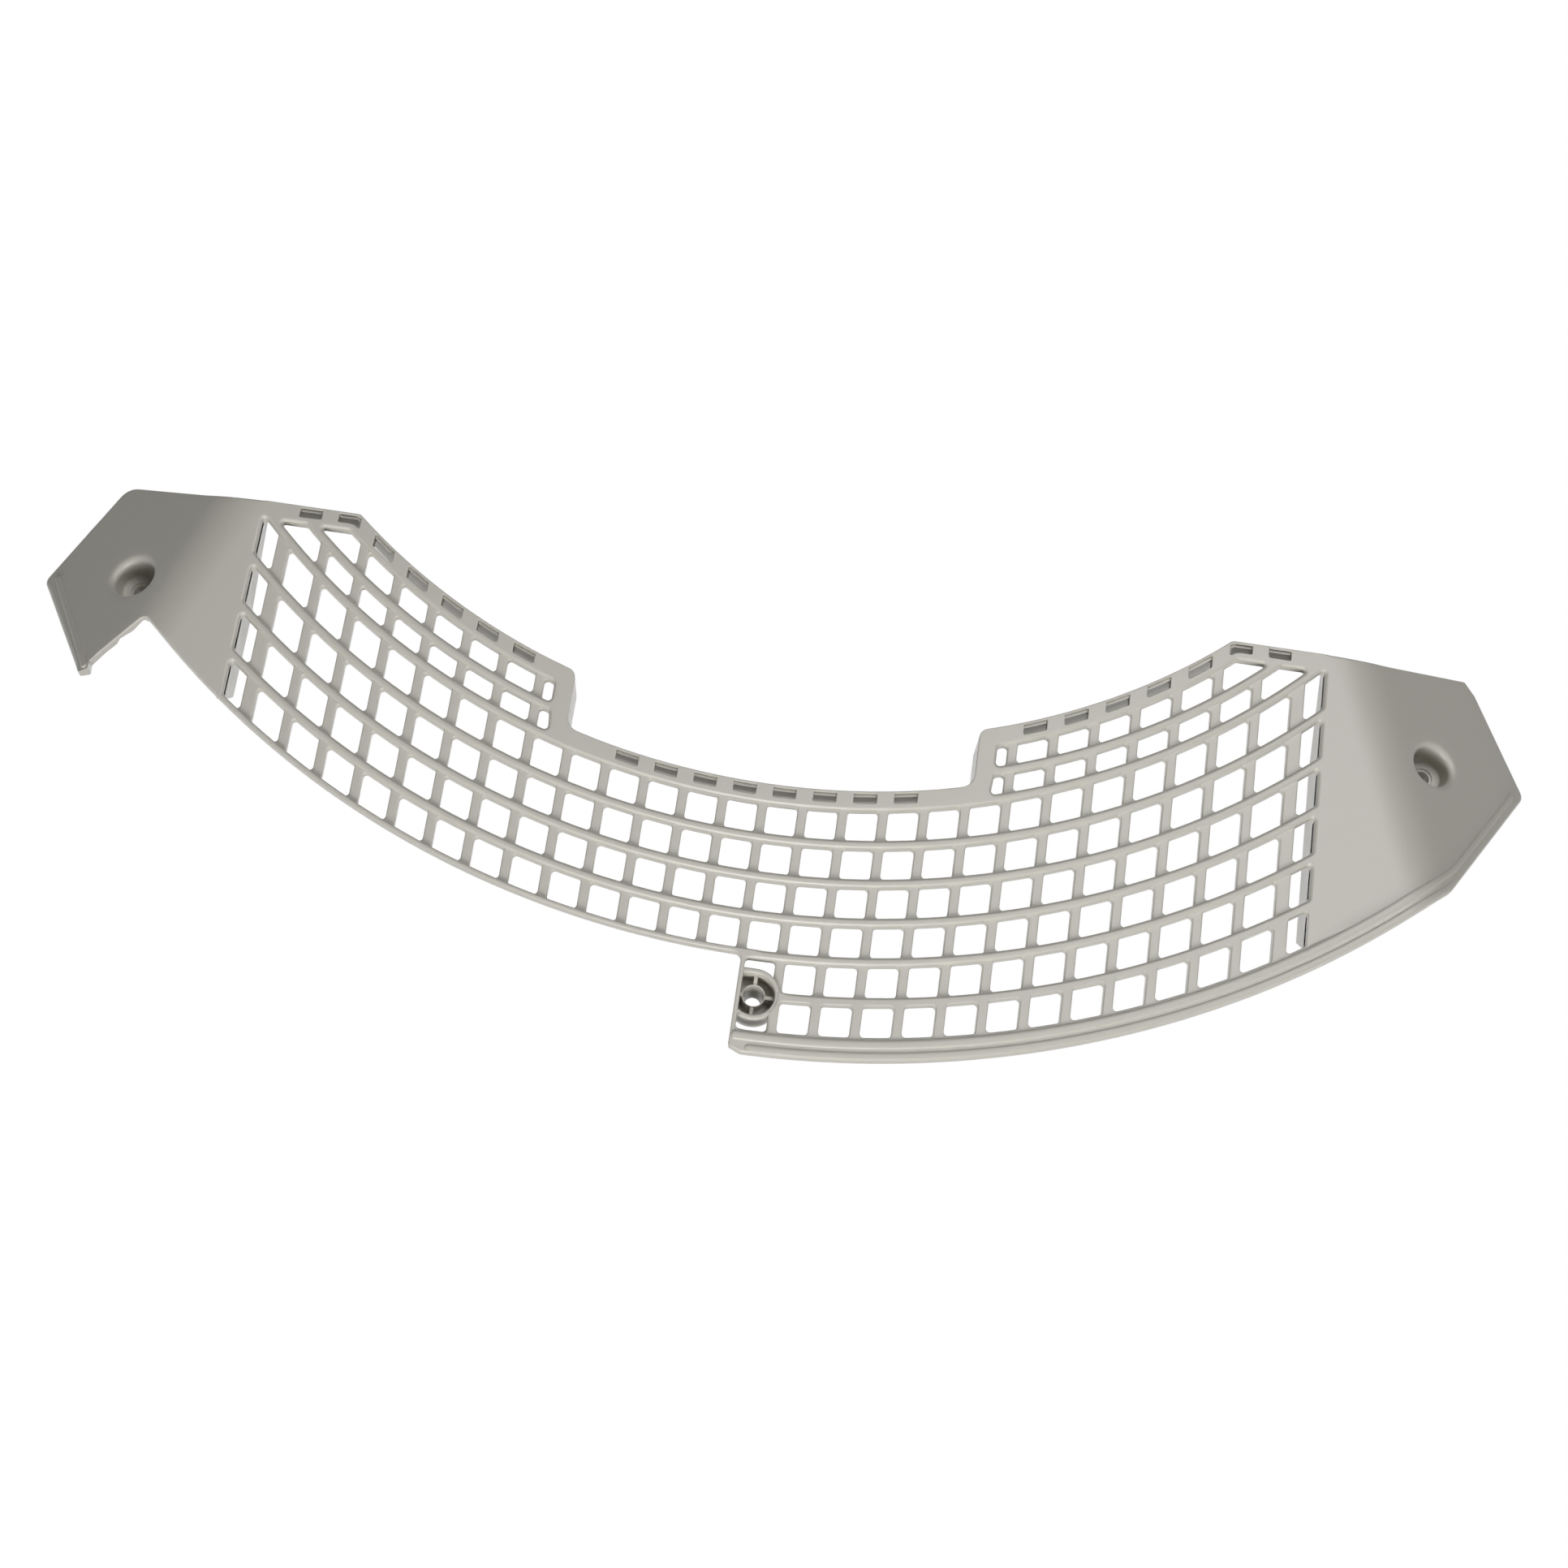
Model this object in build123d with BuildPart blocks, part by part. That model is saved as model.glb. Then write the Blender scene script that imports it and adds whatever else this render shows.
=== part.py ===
from build123d import *
import os
from math import atan2, copysign, cos, degrees, radians, sin, sqrt, tan

# Lint filter cover of a tumble dryer, moulded in one piece.
# X runs to the right, Y to the back and Z up. The origin is midway between the two wing screws, on the plane
# where their bosses meet the dryer. Rails, rims and the outer edge are arcs about one axis along Y, above the
# part. The face is drawn about that axis, so in the sketches y is negative and a radius counts from the axis.

# Grille: parallel bars, crossed by rails that stand proud of them
PITCH = 11.5
BAR_W = 2.8
BAR_SET_BACK = 0.9
SET_BACK_EDGE = 0.15
RAIL_W = 2.5
PLATE_T = 3.6
SIDE_COLUMNS = 13
END_COLUMN_W = 6.6
PLATE_LAP = 0.2

# Rows, from the rim down: two low ones beside the notch, full ones, and lower ones on the right only
RIM_TOP_R = 197.8
RIM_W = 5.45
HORN_ROW_H = 6.1
LOW_HORN_ROW_H = 5.7
FULL_ROWS = 4
LOWER_ROWS = 2
LAST_ROW_H = 9.05
BAND_W = 6.6
LEFT_LIP_W = 1.45

# Rim round the door side, with the notch that the filter slides through
HORN_X = 129.5
TOP_RIM_W = 5.5
NOTCH_HALF_W = 59.0
NOTCH_RIM_W = 4.4
NOTCH_FRAME_W = 5.6
NOTCH_FOOT_R = 4.5
NOTCH_TOP_R = 3.0
HORN_CORNER_R = 2.0
FLANGE_T = 1.4
FLANGE_DEPTH = 10.0
FLANGE_END_GAP = 6.5
NOTCH_WALL_DEPTH = 16.0

# Slots in the rim, one to a column
SLOT_W = 6.6
SLOT_H = 3.2
SLOT_SKIN = 0.6
HORN_SLOTS = (6, 12)
NOTCH_SLOTS = (0, 3)

# Cut-out for the sensor at the lower left
CUT_X = 0.3
CUT_CORNER_R = 2.0
CUT_FOOT = (3.6, 1.5)

# Bead along the outer edge
BEAD_W = 2.8
BEAD_H = 0.7
BEAD_INSET = 4.6
BEAD_START_X = 4.5
BEAD_FOOT_GAP = 5.0
BEAD_TIP_GAP = 6.0

# Wings, bent back about a leaning line. Places are given outwards from the grille and down from the top edge.
BEND_OUT = 9.3
BEND_LEAN = 19.5
BEND_ANGLE = 30.0
BEND_R = 32.0
WING_T = 3.2
WING_TOP_START = 2.5
WING_TOP_SWING_R = 90.0
WING_TOP_RISE = 12.0
WING_TOP_CORNER_OUT = 46.9
WING_TOP_CHAMFER = (3.7, 3.7)
WING_TOP_ROUND = 5.0
RIGHT_TIP = (67.7, 25.3)
LEFT_TIP = (65.8, 25.0)
WING_TIP_R = 3.0
WING_FOOT_OUT = 41.7
LEFT_CUT_INNER_OUT = 27.5
LEFT_CUT_TIP = (44.0, 59.7)
LEFT_CUT_HEEL = (41.3, 54.7)
LEFT_WALL_T = 1.2
LEFT_WALL_DEPTH = 4.6

# Rib behind the inner edge of each wing
RIB_T = 2.0
RIB_TOP_DEPTH = 7.0
RIB_DEPTH = 14.0
RIB_SLOPE_H = 32.0

# Wing screws: counterbored bosses that meet the dryer on one plane
FACE_TO_SEAT = 30.0
SCREW_OUT = 35.0
SCREW_DOWN = 26.5
SCREW_HOLE_R = 2.35
COUNTERBORE_R = 6.0
BOSS_R = 8.0
SCREW_FLOOR_T = 9.8

# Lower screw: a tube on ribs in a D-shaped cup
CUP_FROM_CUT = 5.0
CUP_R = 7.3
CUP_WALL = 1.4
CUP_FLAT_WALL = 1.2
CUP_DEPTH = 9.0
CUP_FLOOR_T = 1.6
CUP_FRAME_W = 1.3
TUBE_R = 3.3
TUBE_MOUTH_R = 3.0
TUBE_HOLE_R = 2.3
TUBE_HOLE_L = 5.4
TUBE_SET_BACK = 2.4
TUBE_BEHIND_CUP = 4.4
CUP_RIB_T = 1.1
CUP_RIB_SET_BACK = 2.6


def drop(radius, x):
    """Height on an arc of that radius, below the axis, at x."""
    return -sqrt(radius**2 - x**2)


# Radii, from the rim to the outer edge
HORN_RAIL_R = RIM_TOP_R + RIM_W + HORN_ROW_H + RAIL_W / 2
FIRST_RAIL_R = HORN_RAIL_R + RAIL_W + LOW_HORN_ROW_H
NOTCH_R = FIRST_RAIL_R - NOTCH_RIM_W
LEFT_EDGE_R = FIRST_RAIL_R + FULL_ROWS * PITCH - RAIL_W / 2 + LEFT_LIP_W
LAST_RAIL_R = FIRST_RAIL_R + (FULL_ROWS + LOWER_ROWS - 1) * PITCH
OUTER_R = LAST_RAIL_R + RAIL_W / 2 + LAST_ROW_H + BAND_W

# Places across and up, from the middle and from the arcs' axis
GRILLE_HALF_W = SIDE_COLUMNS * PITCH + BAR_W / 2 + END_COLUMN_W
PLATE_HALF_W = GRILLE_HALF_W + PLATE_LAP
FLANGE_END_X = GRILLE_HALF_W - FLANGE_END_GAP
BEND_X = GRILLE_HALF_W + BEND_OUT
TOP_EDGE = drop(RIM_TOP_R, HORN_X)
WINDOW_TOP = TOP_EDGE - TOP_RIM_W
SCREW_SPACING = 2 * (GRILLE_HALF_W + SCREW_OUT)
ARC_AXIS_Z = SCREW_DOWN - TOP_EDGE
CUP_WINDOW_X = CUT_X + CUP_FRAME_W
CUP_CENTRE = (CUT_X + CUP_FROM_CUT, -LAST_RAIL_R)

# Longer than anything on the part
REACH = 2 * OUTER_R


def face_plane(depth=0.0):
    """Drawing plane at a depth behind the face, with its centre on the arcs' axis."""
    return Plane(origin=(0, depth - FACE_TO_SEAT, ARC_AXIS_Z), x_dir=(1, 0, 0), z_dir=(0, -1, 0))


def arc_between(radius, x_from, x_to):
    """Arc about the arcs' axis from one x to another."""
    middle = (x_from + x_to) / 2
    points = [(x, drop(radius, x)) for x in (x_from, middle, x_to)]
    return ThreePointArc(*points)


def top_reach(radius):
    """How far out an arc of that radius meets the straight top of the windows."""
    return sqrt(radius**2 - WINDOW_TOP**2)


def opening(inner_r, outer_r, x_near, x_far):
    """Face of one opening between two rails, from the side nearer the middle to the far one."""
    side = copysign(1, x_far)
    low_x = side * min(abs(x_far), top_reach(outer_r))
    high_x = side * min(abs(x_far), top_reach(inner_r))
    corners = [(low_x, drop(outer_r, low_x))]
    if abs(high_x) < abs(x_far) == abs(low_x):
        corners.append((x_far, WINDOW_TOP))
    corners.append((high_x, drop(inner_r, high_x)))
    with BuildSketch() as shape:
        with BuildLine():
            low = arc_between(outer_r, x_near, low_x)
            Polyline(*corners)
            high = arc_between(inner_r, high_x, x_near)
            Line(high @ 1, low @ 0)
        make_face()
    return shape.sketch.faces()[0]


def row_openings(inner_r, outer_r, first_x, bar_columns, last_x):
    """Faces of the openings of one row on the right, between its bars."""
    near_sides = [first_x] + [column * PITCH + BAR_W / 2 for column in bar_columns]
    far_sides = [column * PITCH - BAR_W / 2 for column in bar_columns] + [last_x]
    return [opening(inner_r, outer_r, near, far) for near, far in zip(near_sides, far_sides)]


def bar_tops(inner_r, outer_r, x_from, x_to):
    """Face over the bars of one row, which are set back from the rails."""
    with BuildSketch() as shape:
        with BuildLine():
            low = arc_between(outer_r - SET_BACK_EDGE, x_from, x_to)
            high = arc_between(inner_r + SET_BACK_EDGE, x_to, x_from)
            Line(low @ 1, high @ 0)
            Line(high @ 1, low @ 0)
        make_face()
    return shape.sketch.faces()[0]


def mirrored(faces):
    """The same faces on the left."""
    return [face.mirror(Plane.YZ) for face in faces]


# Rows of the grille. The horns beside the notch have two low rows, the full rows cross the whole cover, and the
# lower rows are on the right only. In the lowest row the bars are flush with the rails.
half_rail = RAIL_W / 2
horn_edges = [
    (RIM_TOP_R + RIM_W, HORN_RAIL_R - half_rail),
    (HORN_RAIL_R + half_rail, FIRST_RAIL_R - half_rail),
]
rail_radii = [FIRST_RAIL_R + row * PITCH for row in range(FULL_ROWS + LOWER_ROWS)]
row_edges = [(r + half_rail, r + PITCH - half_rail) for r in rail_radii]
row_edges[-1] = (row_edges[-1][0], row_edges[-1][0] + LAST_ROW_H)
horn_inner_x = NOTCH_HALF_W + NOTCH_FRAME_W
first_horn_bar = int(horn_inner_x / PITCH) + 1
last_bar_side = SIDE_COLUMNS * PITCH + BAR_W / 2

openings = []
set_back = []
for row, (inner_r, outer_r) in enumerate(horn_edges):
    columns = range(first_horn_bar, SIDE_COLUMNS - len(horn_edges) + row + 1)
    faces = row_openings(inner_r, outer_r, horn_inner_x, columns, GRILLE_HALF_W)
    openings += faces + mirrored(faces)
    tops = bar_tops(inner_r, outer_r, horn_inner_x + 1, columns[-1] * PITCH + BAR_W)
    set_back += [tops] + mirrored([tops])
for inner_r, outer_r in row_edges[:FULL_ROWS]:
    faces = row_openings(inner_r, outer_r, BAR_W / 2, range(1, SIDE_COLUMNS + 1), GRILLE_HALF_W)
    openings += faces + mirrored(faces)
    set_back.append(bar_tops(inner_r, outer_r, -last_bar_side - 1, last_bar_side + 1))
for inner_r, outer_r in row_edges[FULL_ROWS:]:
    openings += row_openings(inner_r, outer_r, CUP_WINDOW_X, range(1, SIDE_COLUMNS + 1), GRILLE_HALF_W)
set_back.append(bar_tops(*row_edges[FULL_ROWS], PITCH - BAR_W / 2 - 1, last_bar_side + 1))

# The clear space above the cover: the door side of the rim, and the filter notch
with BuildSketch() as notch:
    with Locations((0, TOP_EDGE - REACH / 2)):
        Rectangle(2 * NOTCH_HALF_W, REACH)
    Circle(NOTCH_R, mode=Mode.INTERSECT)
with BuildSketch() as clear:
    Circle(RIM_TOP_R)
    add(notch.sketch)
    with Locations((0, TOP_EDGE + REACH / 2)):
        Rectangle(2 * REACH, REACH)
    corners = clear.vertices().filter_by_position(Axis.Y, -REACH, TOP_EDGE + 0.1).sort_by(Axis.Y)
    fillet(corners[:2], NOTCH_FOOT_R)
    fillet(corners[2:4], NOTCH_TOP_R)
    fillet(corners[4:6], HORN_CORNER_R)


def rim_strip(inner, outer):
    """Strip of the rim between two distances from its top edge."""
    with BuildSketch() as strip:
        offset(clear.sketch, amount=outer)
        if inner > 0:
            offset(clear.sketch, amount=inner, mode=Mode.SUBTRACT)
        else:
            add(clear.sketch, mode=Mode.SUBTRACT)
    return strip.sketch


# Slots of the rim
slot_columns = [*range(NOTCH_SLOTS[0], NOTCH_SLOTS[1] + 1), *range(HORN_SLOTS[0], HORN_SLOTS[1] + 1)]
with BuildSketch() as slot_lines:
    with Locations([(side * (column + 0.5) * PITCH, -REACH / 2) for column in slot_columns for side in (-1, 1)]):
        Rectangle(SLOT_W, REACH)
with BuildSketch() as slots:
    add(rim_strip(SLOT_SKIN, SLOT_SKIN + SLOT_H))
    add(slot_lines.sketch, mode=Mode.INTERSECT)
openings += slots.sketch.faces()

# Sensor cut-out: everything under the full rows, left of the middle
with BuildSketch() as left_cut:
    with Locations((CUT_X - REACH / 2, -REACH / 2)):
        Rectangle(REACH, REACH)
    Circle(LEFT_EDGE_R, mode=Mode.SUBTRACT)

# Plate of the grille, between the wings, with all its openings
with BuildSketch() as plate:
    Circle(OUTER_R)
    with Locations((0, TOP_EDGE - REACH / 2)):
        Rectangle(2 * PLATE_HALF_W, REACH, mode=Mode.INTERSECT)
    add(clear.sketch, mode=Mode.SUBTRACT)
    add(left_cut.sketch, mode=Mode.SUBTRACT)
    cut_line = plate.vertices().filter_by_position(Axis.X, CUT_X - 0.1, CUT_X + 0.1)
    fillet(cut_line.sort_by(Axis.Y)[-1], CUT_CORNER_R)
    cut_line = plate.vertices().filter_by_position(Axis.X, CUT_X - 0.1, CUT_X + 0.1)
    chamfer(cut_line.sort_by(Axis.Y)[0], CUT_FOOT[1], CUT_FOOT[0])
plate_face = plate.sketch.faces()[0]
web = Face(plate_face.outer_wire(), [face.outer_wire() for face in openings])

# Space behind the front of a wing, for the right wing: flat, bent, flat, drawn across the bend line
lean = radians(BEND_LEAN)
slope = radians(BEND_ANGLE)
bend_origin = (BEND_X, -FACE_TO_SEAT, ARC_AXIS_Z + TOP_EDGE)
across_bend = Plane(origin=bend_origin, x_dir=(cos(lean), 0, sin(lean)), z_dir=(sin(lean), 0, -cos(lean)))
bend_tangent = BEND_R * tan(slope / 2)
with BuildPart() as behind_right:
    with BuildSketch(across_bend):
        with BuildLine():
            flat = Line((-REACH, 0), (-bend_tangent, 0))
            bend = TangentArc(flat @ 1, (bend_tangent * cos(slope), -bend_tangent * sin(slope)), tangent=(1, 0))
            outer = Line(bend @ 1, (REACH / 4, -REACH / 4 * tan(slope)))
            Polyline(outer @ 1, (REACH / 4, -REACH / 2), (-REACH, -REACH / 2), flat @ 0)
        make_face()
    extrude(amount=REACH / 2, both=True)
with BuildPart() as behind_left:
    add(behind_right.part.mirror(Plane.YZ))


def wing_place(out_and_down):
    """Front-view place of a point given outwards from the grille and down from the top edge."""
    return (GRILLE_HALF_W + out_and_down[0], TOP_EDGE - out_and_down[1])


# Outlines of the wings in the front view, both drawn on the right
swing = radians(WING_TOP_RISE)
swing_start = GRILLE_HALF_W + WING_TOP_START
swing_end = (swing_start + WING_TOP_SWING_R * sin(swing), TOP_EDGE + WING_TOP_SWING_R * (1 - cos(swing)))
corner_x = GRILLE_HALF_W + WING_TOP_CORNER_OUT
top_corner = (corner_x, swing_end[1] + (corner_x - swing_end[0]) * tan(swing))
under_corner = (top_corner[0] + WING_TOP_CHAMFER[0], top_corner[1] - WING_TOP_CHAMFER[1])
foot_x = GRILLE_HALF_W + WING_FOOT_OUT
foot = (foot_x, drop(OUTER_R, foot_x))
cut_inner_x = GRILLE_HALF_W + LEFT_CUT_INNER_OUT
cut_inner = (cut_inner_x, drop(LEFT_EDGE_R, cut_inner_x))
right_tip = wing_place(RIGHT_TIP)
left_tip = wing_place(LEFT_TIP)
cut_tip = wing_place(LEFT_CUT_TIP)
cut_heel = wing_place(LEFT_CUT_HEEL)
with BuildSketch() as right_outline:
    with BuildLine():
        straight = Line((PLATE_HALF_W, TOP_EDGE), (swing_start, TOP_EDGE))
        rise = TangentArc(straight @ 1, swing_end, tangent=(1, 0))
        Polyline(rise @ 1, top_corner, under_corner, right_tip, foot)
        edge = arc_between(OUTER_R, foot[0], PLATE_HALF_W)
        Line(edge @ 1, straight @ 0)
    make_face()
    fillet(right_outline.vertices().sort_by(Axis.X)[-1], WING_TIP_R)
with BuildSketch() as left_outline:
    with BuildLine():
        straight = Line((PLATE_HALF_W, TOP_EDGE), (swing_start, TOP_EDGE))
        rise = TangentArc(straight @ 1, swing_end, tangent=(1, 0))
        Polyline(rise @ 1, top_corner, left_tip, cut_tip, cut_heel, cut_inner)
        edge = arc_between(LEFT_EDGE_R, cut_inner[0], PLATE_HALF_W)
        Line(edge @ 1, straight @ 0)
    make_face()
    fillet(left_outline.vertices().sort_by(Axis.Y)[-1], WING_TOP_ROUND)
    fillet(left_outline.vertices().sort_by(Axis.X)[-1], WING_TIP_R)
    mirror(about=Plane.YZ, mode=Mode.REPLACE)


def bead_along(start, end, start_gap, end_gap):
    """Outline of the bead inside an edge that runs up from one point to another, on the right."""
    run = Vector(end[0] - start[0], end[1] - start[1])
    along = run.normalized()
    inward = Vector(-along.Y, along.X)
    middle = Vector(*start) + along * ((run.length + start_gap - end_gap) / 2) + inward * BEAD_INSET
    with BuildSketch() as bead:
        with Locations(Location((middle.X, middle.Y, 0), (0, 0, degrees(atan2(along.Y, along.X))))):
            SlotOverall(run.length - start_gap - end_gap, BEAD_W)
    return bead.sketch


# Beads: along the outer edge and up the edges of the wings
with BuildSketch() as right_beads:
    with BuildLine():
        low = arc_between(OUTER_R - BEAD_INSET + BEAD_W / 2, BEAD_START_X, foot[0] - BEAD_INSET)
        high = arc_between(OUTER_R - BEAD_INSET - BEAD_W / 2, foot[0] - BEAD_INSET, BEAD_START_X)
        Line(low @ 1, high @ 0)
        Line(high @ 1, low @ 0)
    make_face()
    add(bead_along(foot, right_tip, BEAD_FOOT_GAP, BEAD_TIP_GAP))
with BuildSketch() as left_bead:
    add(bead_along(cut_tip, left_tip, BEAD_FOOT_GAP, BEAD_TIP_GAP))
    mirror(about=Plane.YZ, mode=Mode.REPLACE)


def on_face(shape, depth=0.0):
    """A drawn shape placed at a depth behind the face."""
    return face_plane(depth).from_local_coords(shape)


def wing(outline, beads, behind):
    """A wing: its outline, bent back to one thickness, with the beads standing proud."""
    with BuildPart() as bead_relief:
        extrude(on_face(beads, -BEAD_H), amount=-REACH / 4)
        add(behind.moved(Location((0, -BEAD_H, 0))), mode=Mode.INTERSECT)
        add(behind.moved(Location((0, WING_T / 2, 0))), mode=Mode.SUBTRACT)
    with BuildPart() as shell:
        extrude(on_face(outline), amount=-REACH / 4)
        add(behind, mode=Mode.INTERSECT)
        add(behind.moved(Location((0, WING_T, 0))), mode=Mode.SUBTRACT)
        add(bead_relief.part)
    return shell.part


# Wall behind the edge of the left wing that faces the cut-out
with BuildSketch() as left_wall:
    with BuildLine():
        wall_run = Vector(cut_inner[0] - cut_heel[0], cut_inner[1] - cut_heel[1]).normalized()
        wall_in = Vector(-wall_run.Y, wall_run.X) * -LEFT_WALL_T
        wall_end = Vector(*cut_heel) + wall_run * LEFT_WALL_T
        wall_start = Vector(*cut_inner) - wall_run * (2 * LEFT_WALL_T)
        Polyline(wall_start, wall_end, wall_end + wall_in, wall_start + wall_in, close=True)
    make_face()
    mirror(about=Plane.YZ, mode=Mode.REPLACE)
with BuildPart() as cut_wall:
    extrude(on_face(left_wall.sketch), amount=-REACH / 4)
    add(behind_left.part.moved(Location((0, WING_T / 2, 0))), mode=Mode.INTERSECT)
    add(behind_left.part.moved(Location((0, LEFT_WALL_DEPTH, 0))), mode=Mode.SUBTRACT)

# Flange behind the rim, deeper round the notch
with BuildSketch() as flange:
    add(rim_strip(0, FLANGE_T))
    with Locations((0, -REACH / 2)):
        Rectangle(2 * FLANGE_END_X, REACH, mode=Mode.INTERSECT)
notch_top = drop(RIM_TOP_R, NOTCH_HALF_W)
with BuildSketch() as notch_wall:
    add(rim_strip(0, FLANGE_T))
    with Locations((0, notch_top - REACH / 2)):
        Rectangle(2 * (NOTCH_HALF_W + FLANGE_T), REACH, mode=Mode.INTERSECT)

# Rib behind the inner edge of each wing, seen from the side
rib_plane = Plane(origin=(0, -FACE_TO_SEAT, ARC_AXIS_Z), x_dir=(0, 1, 0), z_dir=(1, 0, 0))
rib_foot = {1: drop(OUTER_R - BAND_W, GRILLE_HALF_W), -1: drop(LEFT_EDGE_R - 1, GRILLE_HALF_W)}


def rib(side):
    """Rib behind the inner edge of the wing on one side."""
    with BuildPart() as web_rib:
        with BuildSketch(rib_plane.offset(side * GRILLE_HALF_W)):
            with BuildLine():
                Polyline(
                    (WING_T / 2, TOP_EDGE),
                    (RIB_TOP_DEPTH, TOP_EDGE),
                    (RIB_DEPTH, TOP_EDGE - RIB_SLOPE_H),
                    (RIB_DEPTH, rib_foot[side]),
                    (WING_T / 2, rib_foot[side]),
                    close=True,
                )
            make_face()
        extrude(amount=side * RIB_T)
    return web_rib.part


# Screw places
cup_x, cup_y = CUP_CENTRE
wing_screws = [(side * SCREW_SPACING / 2, TOP_EDGE - SCREW_DOWN) for side in (-1, 1)]

# Cup of the lower screw: a D-shaped wall, and what stands in its pocket
with BuildSketch() as cup_outline:
    with Locations(CUP_CENTRE):
        Circle(CUP_R)
    with Locations((cup_x - CUP_R / 2, cup_y + CUP_R / 2)):
        Rectangle(CUP_R, CUP_R)
    with Locations((CUT_X + REACH / 2, cup_y)):
        Rectangle(REACH, REACH, mode=Mode.INTERSECT)
pocket_r = CUP_R - CUP_WALL
with BuildSketch() as cup_pocket:
    with Locations(CUP_CENTRE):
        Circle(pocket_r)
    with Locations((cup_x - pocket_r / 2, cup_y + pocket_r / 2)):
        Rectangle(pocket_r, pocket_r)
    with Locations((CUT_X + CUP_FLAT_WALL + REACH / 2, cup_y)):
        Rectangle(REACH, REACH, mode=Mode.INTERSECT)
with BuildSketch() as cup_ribs:
    with Locations(CUP_CENTRE):
        Rectangle(2 * CUP_R, CUP_RIB_T)
        Rectangle(CUP_RIB_T, 2 * CUP_R)
    add(cup_pocket.sketch, mode=Mode.INTERSECT)
with BuildSketch() as tube:
    with Locations(CUP_CENTRE):
        Circle(TUBE_R)
with BuildSketch() as tube_hole:
    with Locations(CUP_CENTRE):
        Circle(TUBE_HOLE_R)
funnel_depth = CUP_DEPTH + TUBE_BEHIND_CUP - TUBE_HOLE_L - TUBE_SET_BACK
tube_mouth = face_plane(TUBE_SET_BACK).location * Location((cup_x, cup_y, 0))
with BuildPart() as pocket:
    extrude(on_face(cup_pocket.sketch, -1), amount=-(CUP_DEPTH - CUP_FLOOR_T + 1))
    extrude(on_face(cup_ribs.sketch, CUP_RIB_SET_BACK), amount=-CUP_DEPTH, mode=Mode.SUBTRACT)
    extrude(on_face(tube.sketch, TUBE_SET_BACK), amount=-CUP_DEPTH, mode=Mode.SUBTRACT)
    extrude(on_face(tube_hole.sketch, -1), amount=-REACH / 4)
    with Locations(tube_mouth):
        Cone(TUBE_HOLE_R, TUBE_MOUTH_R, funnel_depth, align=(Align.CENTER, Align.CENTER, Align.MAX))

# Wing screws: bosses to the seat, counterbores from the front, and screw holes
with BuildSketch() as boss_circles:
    with Locations(wing_screws):
        Circle(BOSS_R)
with BuildSketch() as counterbores:
    with Locations(wing_screws):
        Circle(COUNTERBORE_R)
with BuildSketch() as screw_holes:
    with Locations(wing_screws):
        Circle(SCREW_HOLE_R)
with BuildPart() as bosses:
    extrude(on_face(boss_circles.sketch), amount=-FACE_TO_SEAT)
    add(behind_right.part, mode=Mode.INTERSECT)
    add(behind_left.part, mode=Mode.INTERSECT)

# Everything round the grille, then the grille itself, then the screw places
with BuildPart() as surround:
    add(wing(right_outline.sketch, right_beads.sketch, behind_right.part))
    add(wing(left_outline.sketch, left_bead.sketch, behind_left.part))
    add(cut_wall.part)
    add(bosses.part)
    add(rib(1))
    add(rib(-1))
    extrude(on_face(flange.sketch, PLATE_T), amount=PLATE_T - FLANGE_DEPTH)
    extrude(on_face(notch_wall.sketch, PLATE_T), amount=PLATE_T - NOTCH_WALL_DEPTH)
    extrude(on_face(cup_outline.sketch), amount=-CUP_DEPTH)
    extrude(on_face(tube.sketch, TUBE_SET_BACK), amount=-(CUP_DEPTH + TUBE_BEHIND_CUP - TUBE_SET_BACK))
with BuildPart() as bar_cuts:
    for face in set_back:
        extrude(on_face(face), amount=-BAR_SET_BACK)
with BuildPart() as screw_cuts:
    add(pocket.part)
    extrude(on_face(counterbores.sketch, -1), amount=-(FACE_TO_SEAT - SCREW_FLOOR_T + 1))
    extrude(on_face(screw_holes.sketch, -1), amount=-REACH / 4)
with BuildPart() as cover:
    extrude(on_face(web), amount=-PLATE_T)
    add(bar_cuts.part, mode=Mode.SUBTRACT)
    add(surround.part)
    add(screw_cuts.part, mode=Mode.SUBTRACT)

cover.part.label = "lint_filter_cover"
os.makedirs("parts", exist_ok=True)
export_step(cover.part, "parts/lint_filter_cover.step")
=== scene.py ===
from math import cos, pi, radians, sin, sqrt, tan

import bmesh
import bpy
import numpy as np
from mathutils import Matrix, Vector
from mathutils.geometry import delaunay_2d_cdt

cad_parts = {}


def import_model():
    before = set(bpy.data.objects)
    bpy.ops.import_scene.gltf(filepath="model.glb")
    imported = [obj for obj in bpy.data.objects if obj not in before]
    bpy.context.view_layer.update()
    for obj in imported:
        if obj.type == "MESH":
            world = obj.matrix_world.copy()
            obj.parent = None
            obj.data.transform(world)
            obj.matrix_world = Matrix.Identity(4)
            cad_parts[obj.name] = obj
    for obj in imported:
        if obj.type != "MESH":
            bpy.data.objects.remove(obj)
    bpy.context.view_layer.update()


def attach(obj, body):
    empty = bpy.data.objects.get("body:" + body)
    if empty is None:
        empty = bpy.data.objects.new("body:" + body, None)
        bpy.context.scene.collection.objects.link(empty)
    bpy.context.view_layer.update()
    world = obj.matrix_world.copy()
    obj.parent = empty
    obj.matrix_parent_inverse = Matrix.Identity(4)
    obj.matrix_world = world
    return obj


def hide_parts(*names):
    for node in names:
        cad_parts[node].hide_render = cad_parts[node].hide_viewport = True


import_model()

MM = 0.001

# The shapes are drawn in the front view, in millimetres: x to the right and y up from the axis of the arcs,
# so y is negative on the part. Depth counts from the face to the back.

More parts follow.
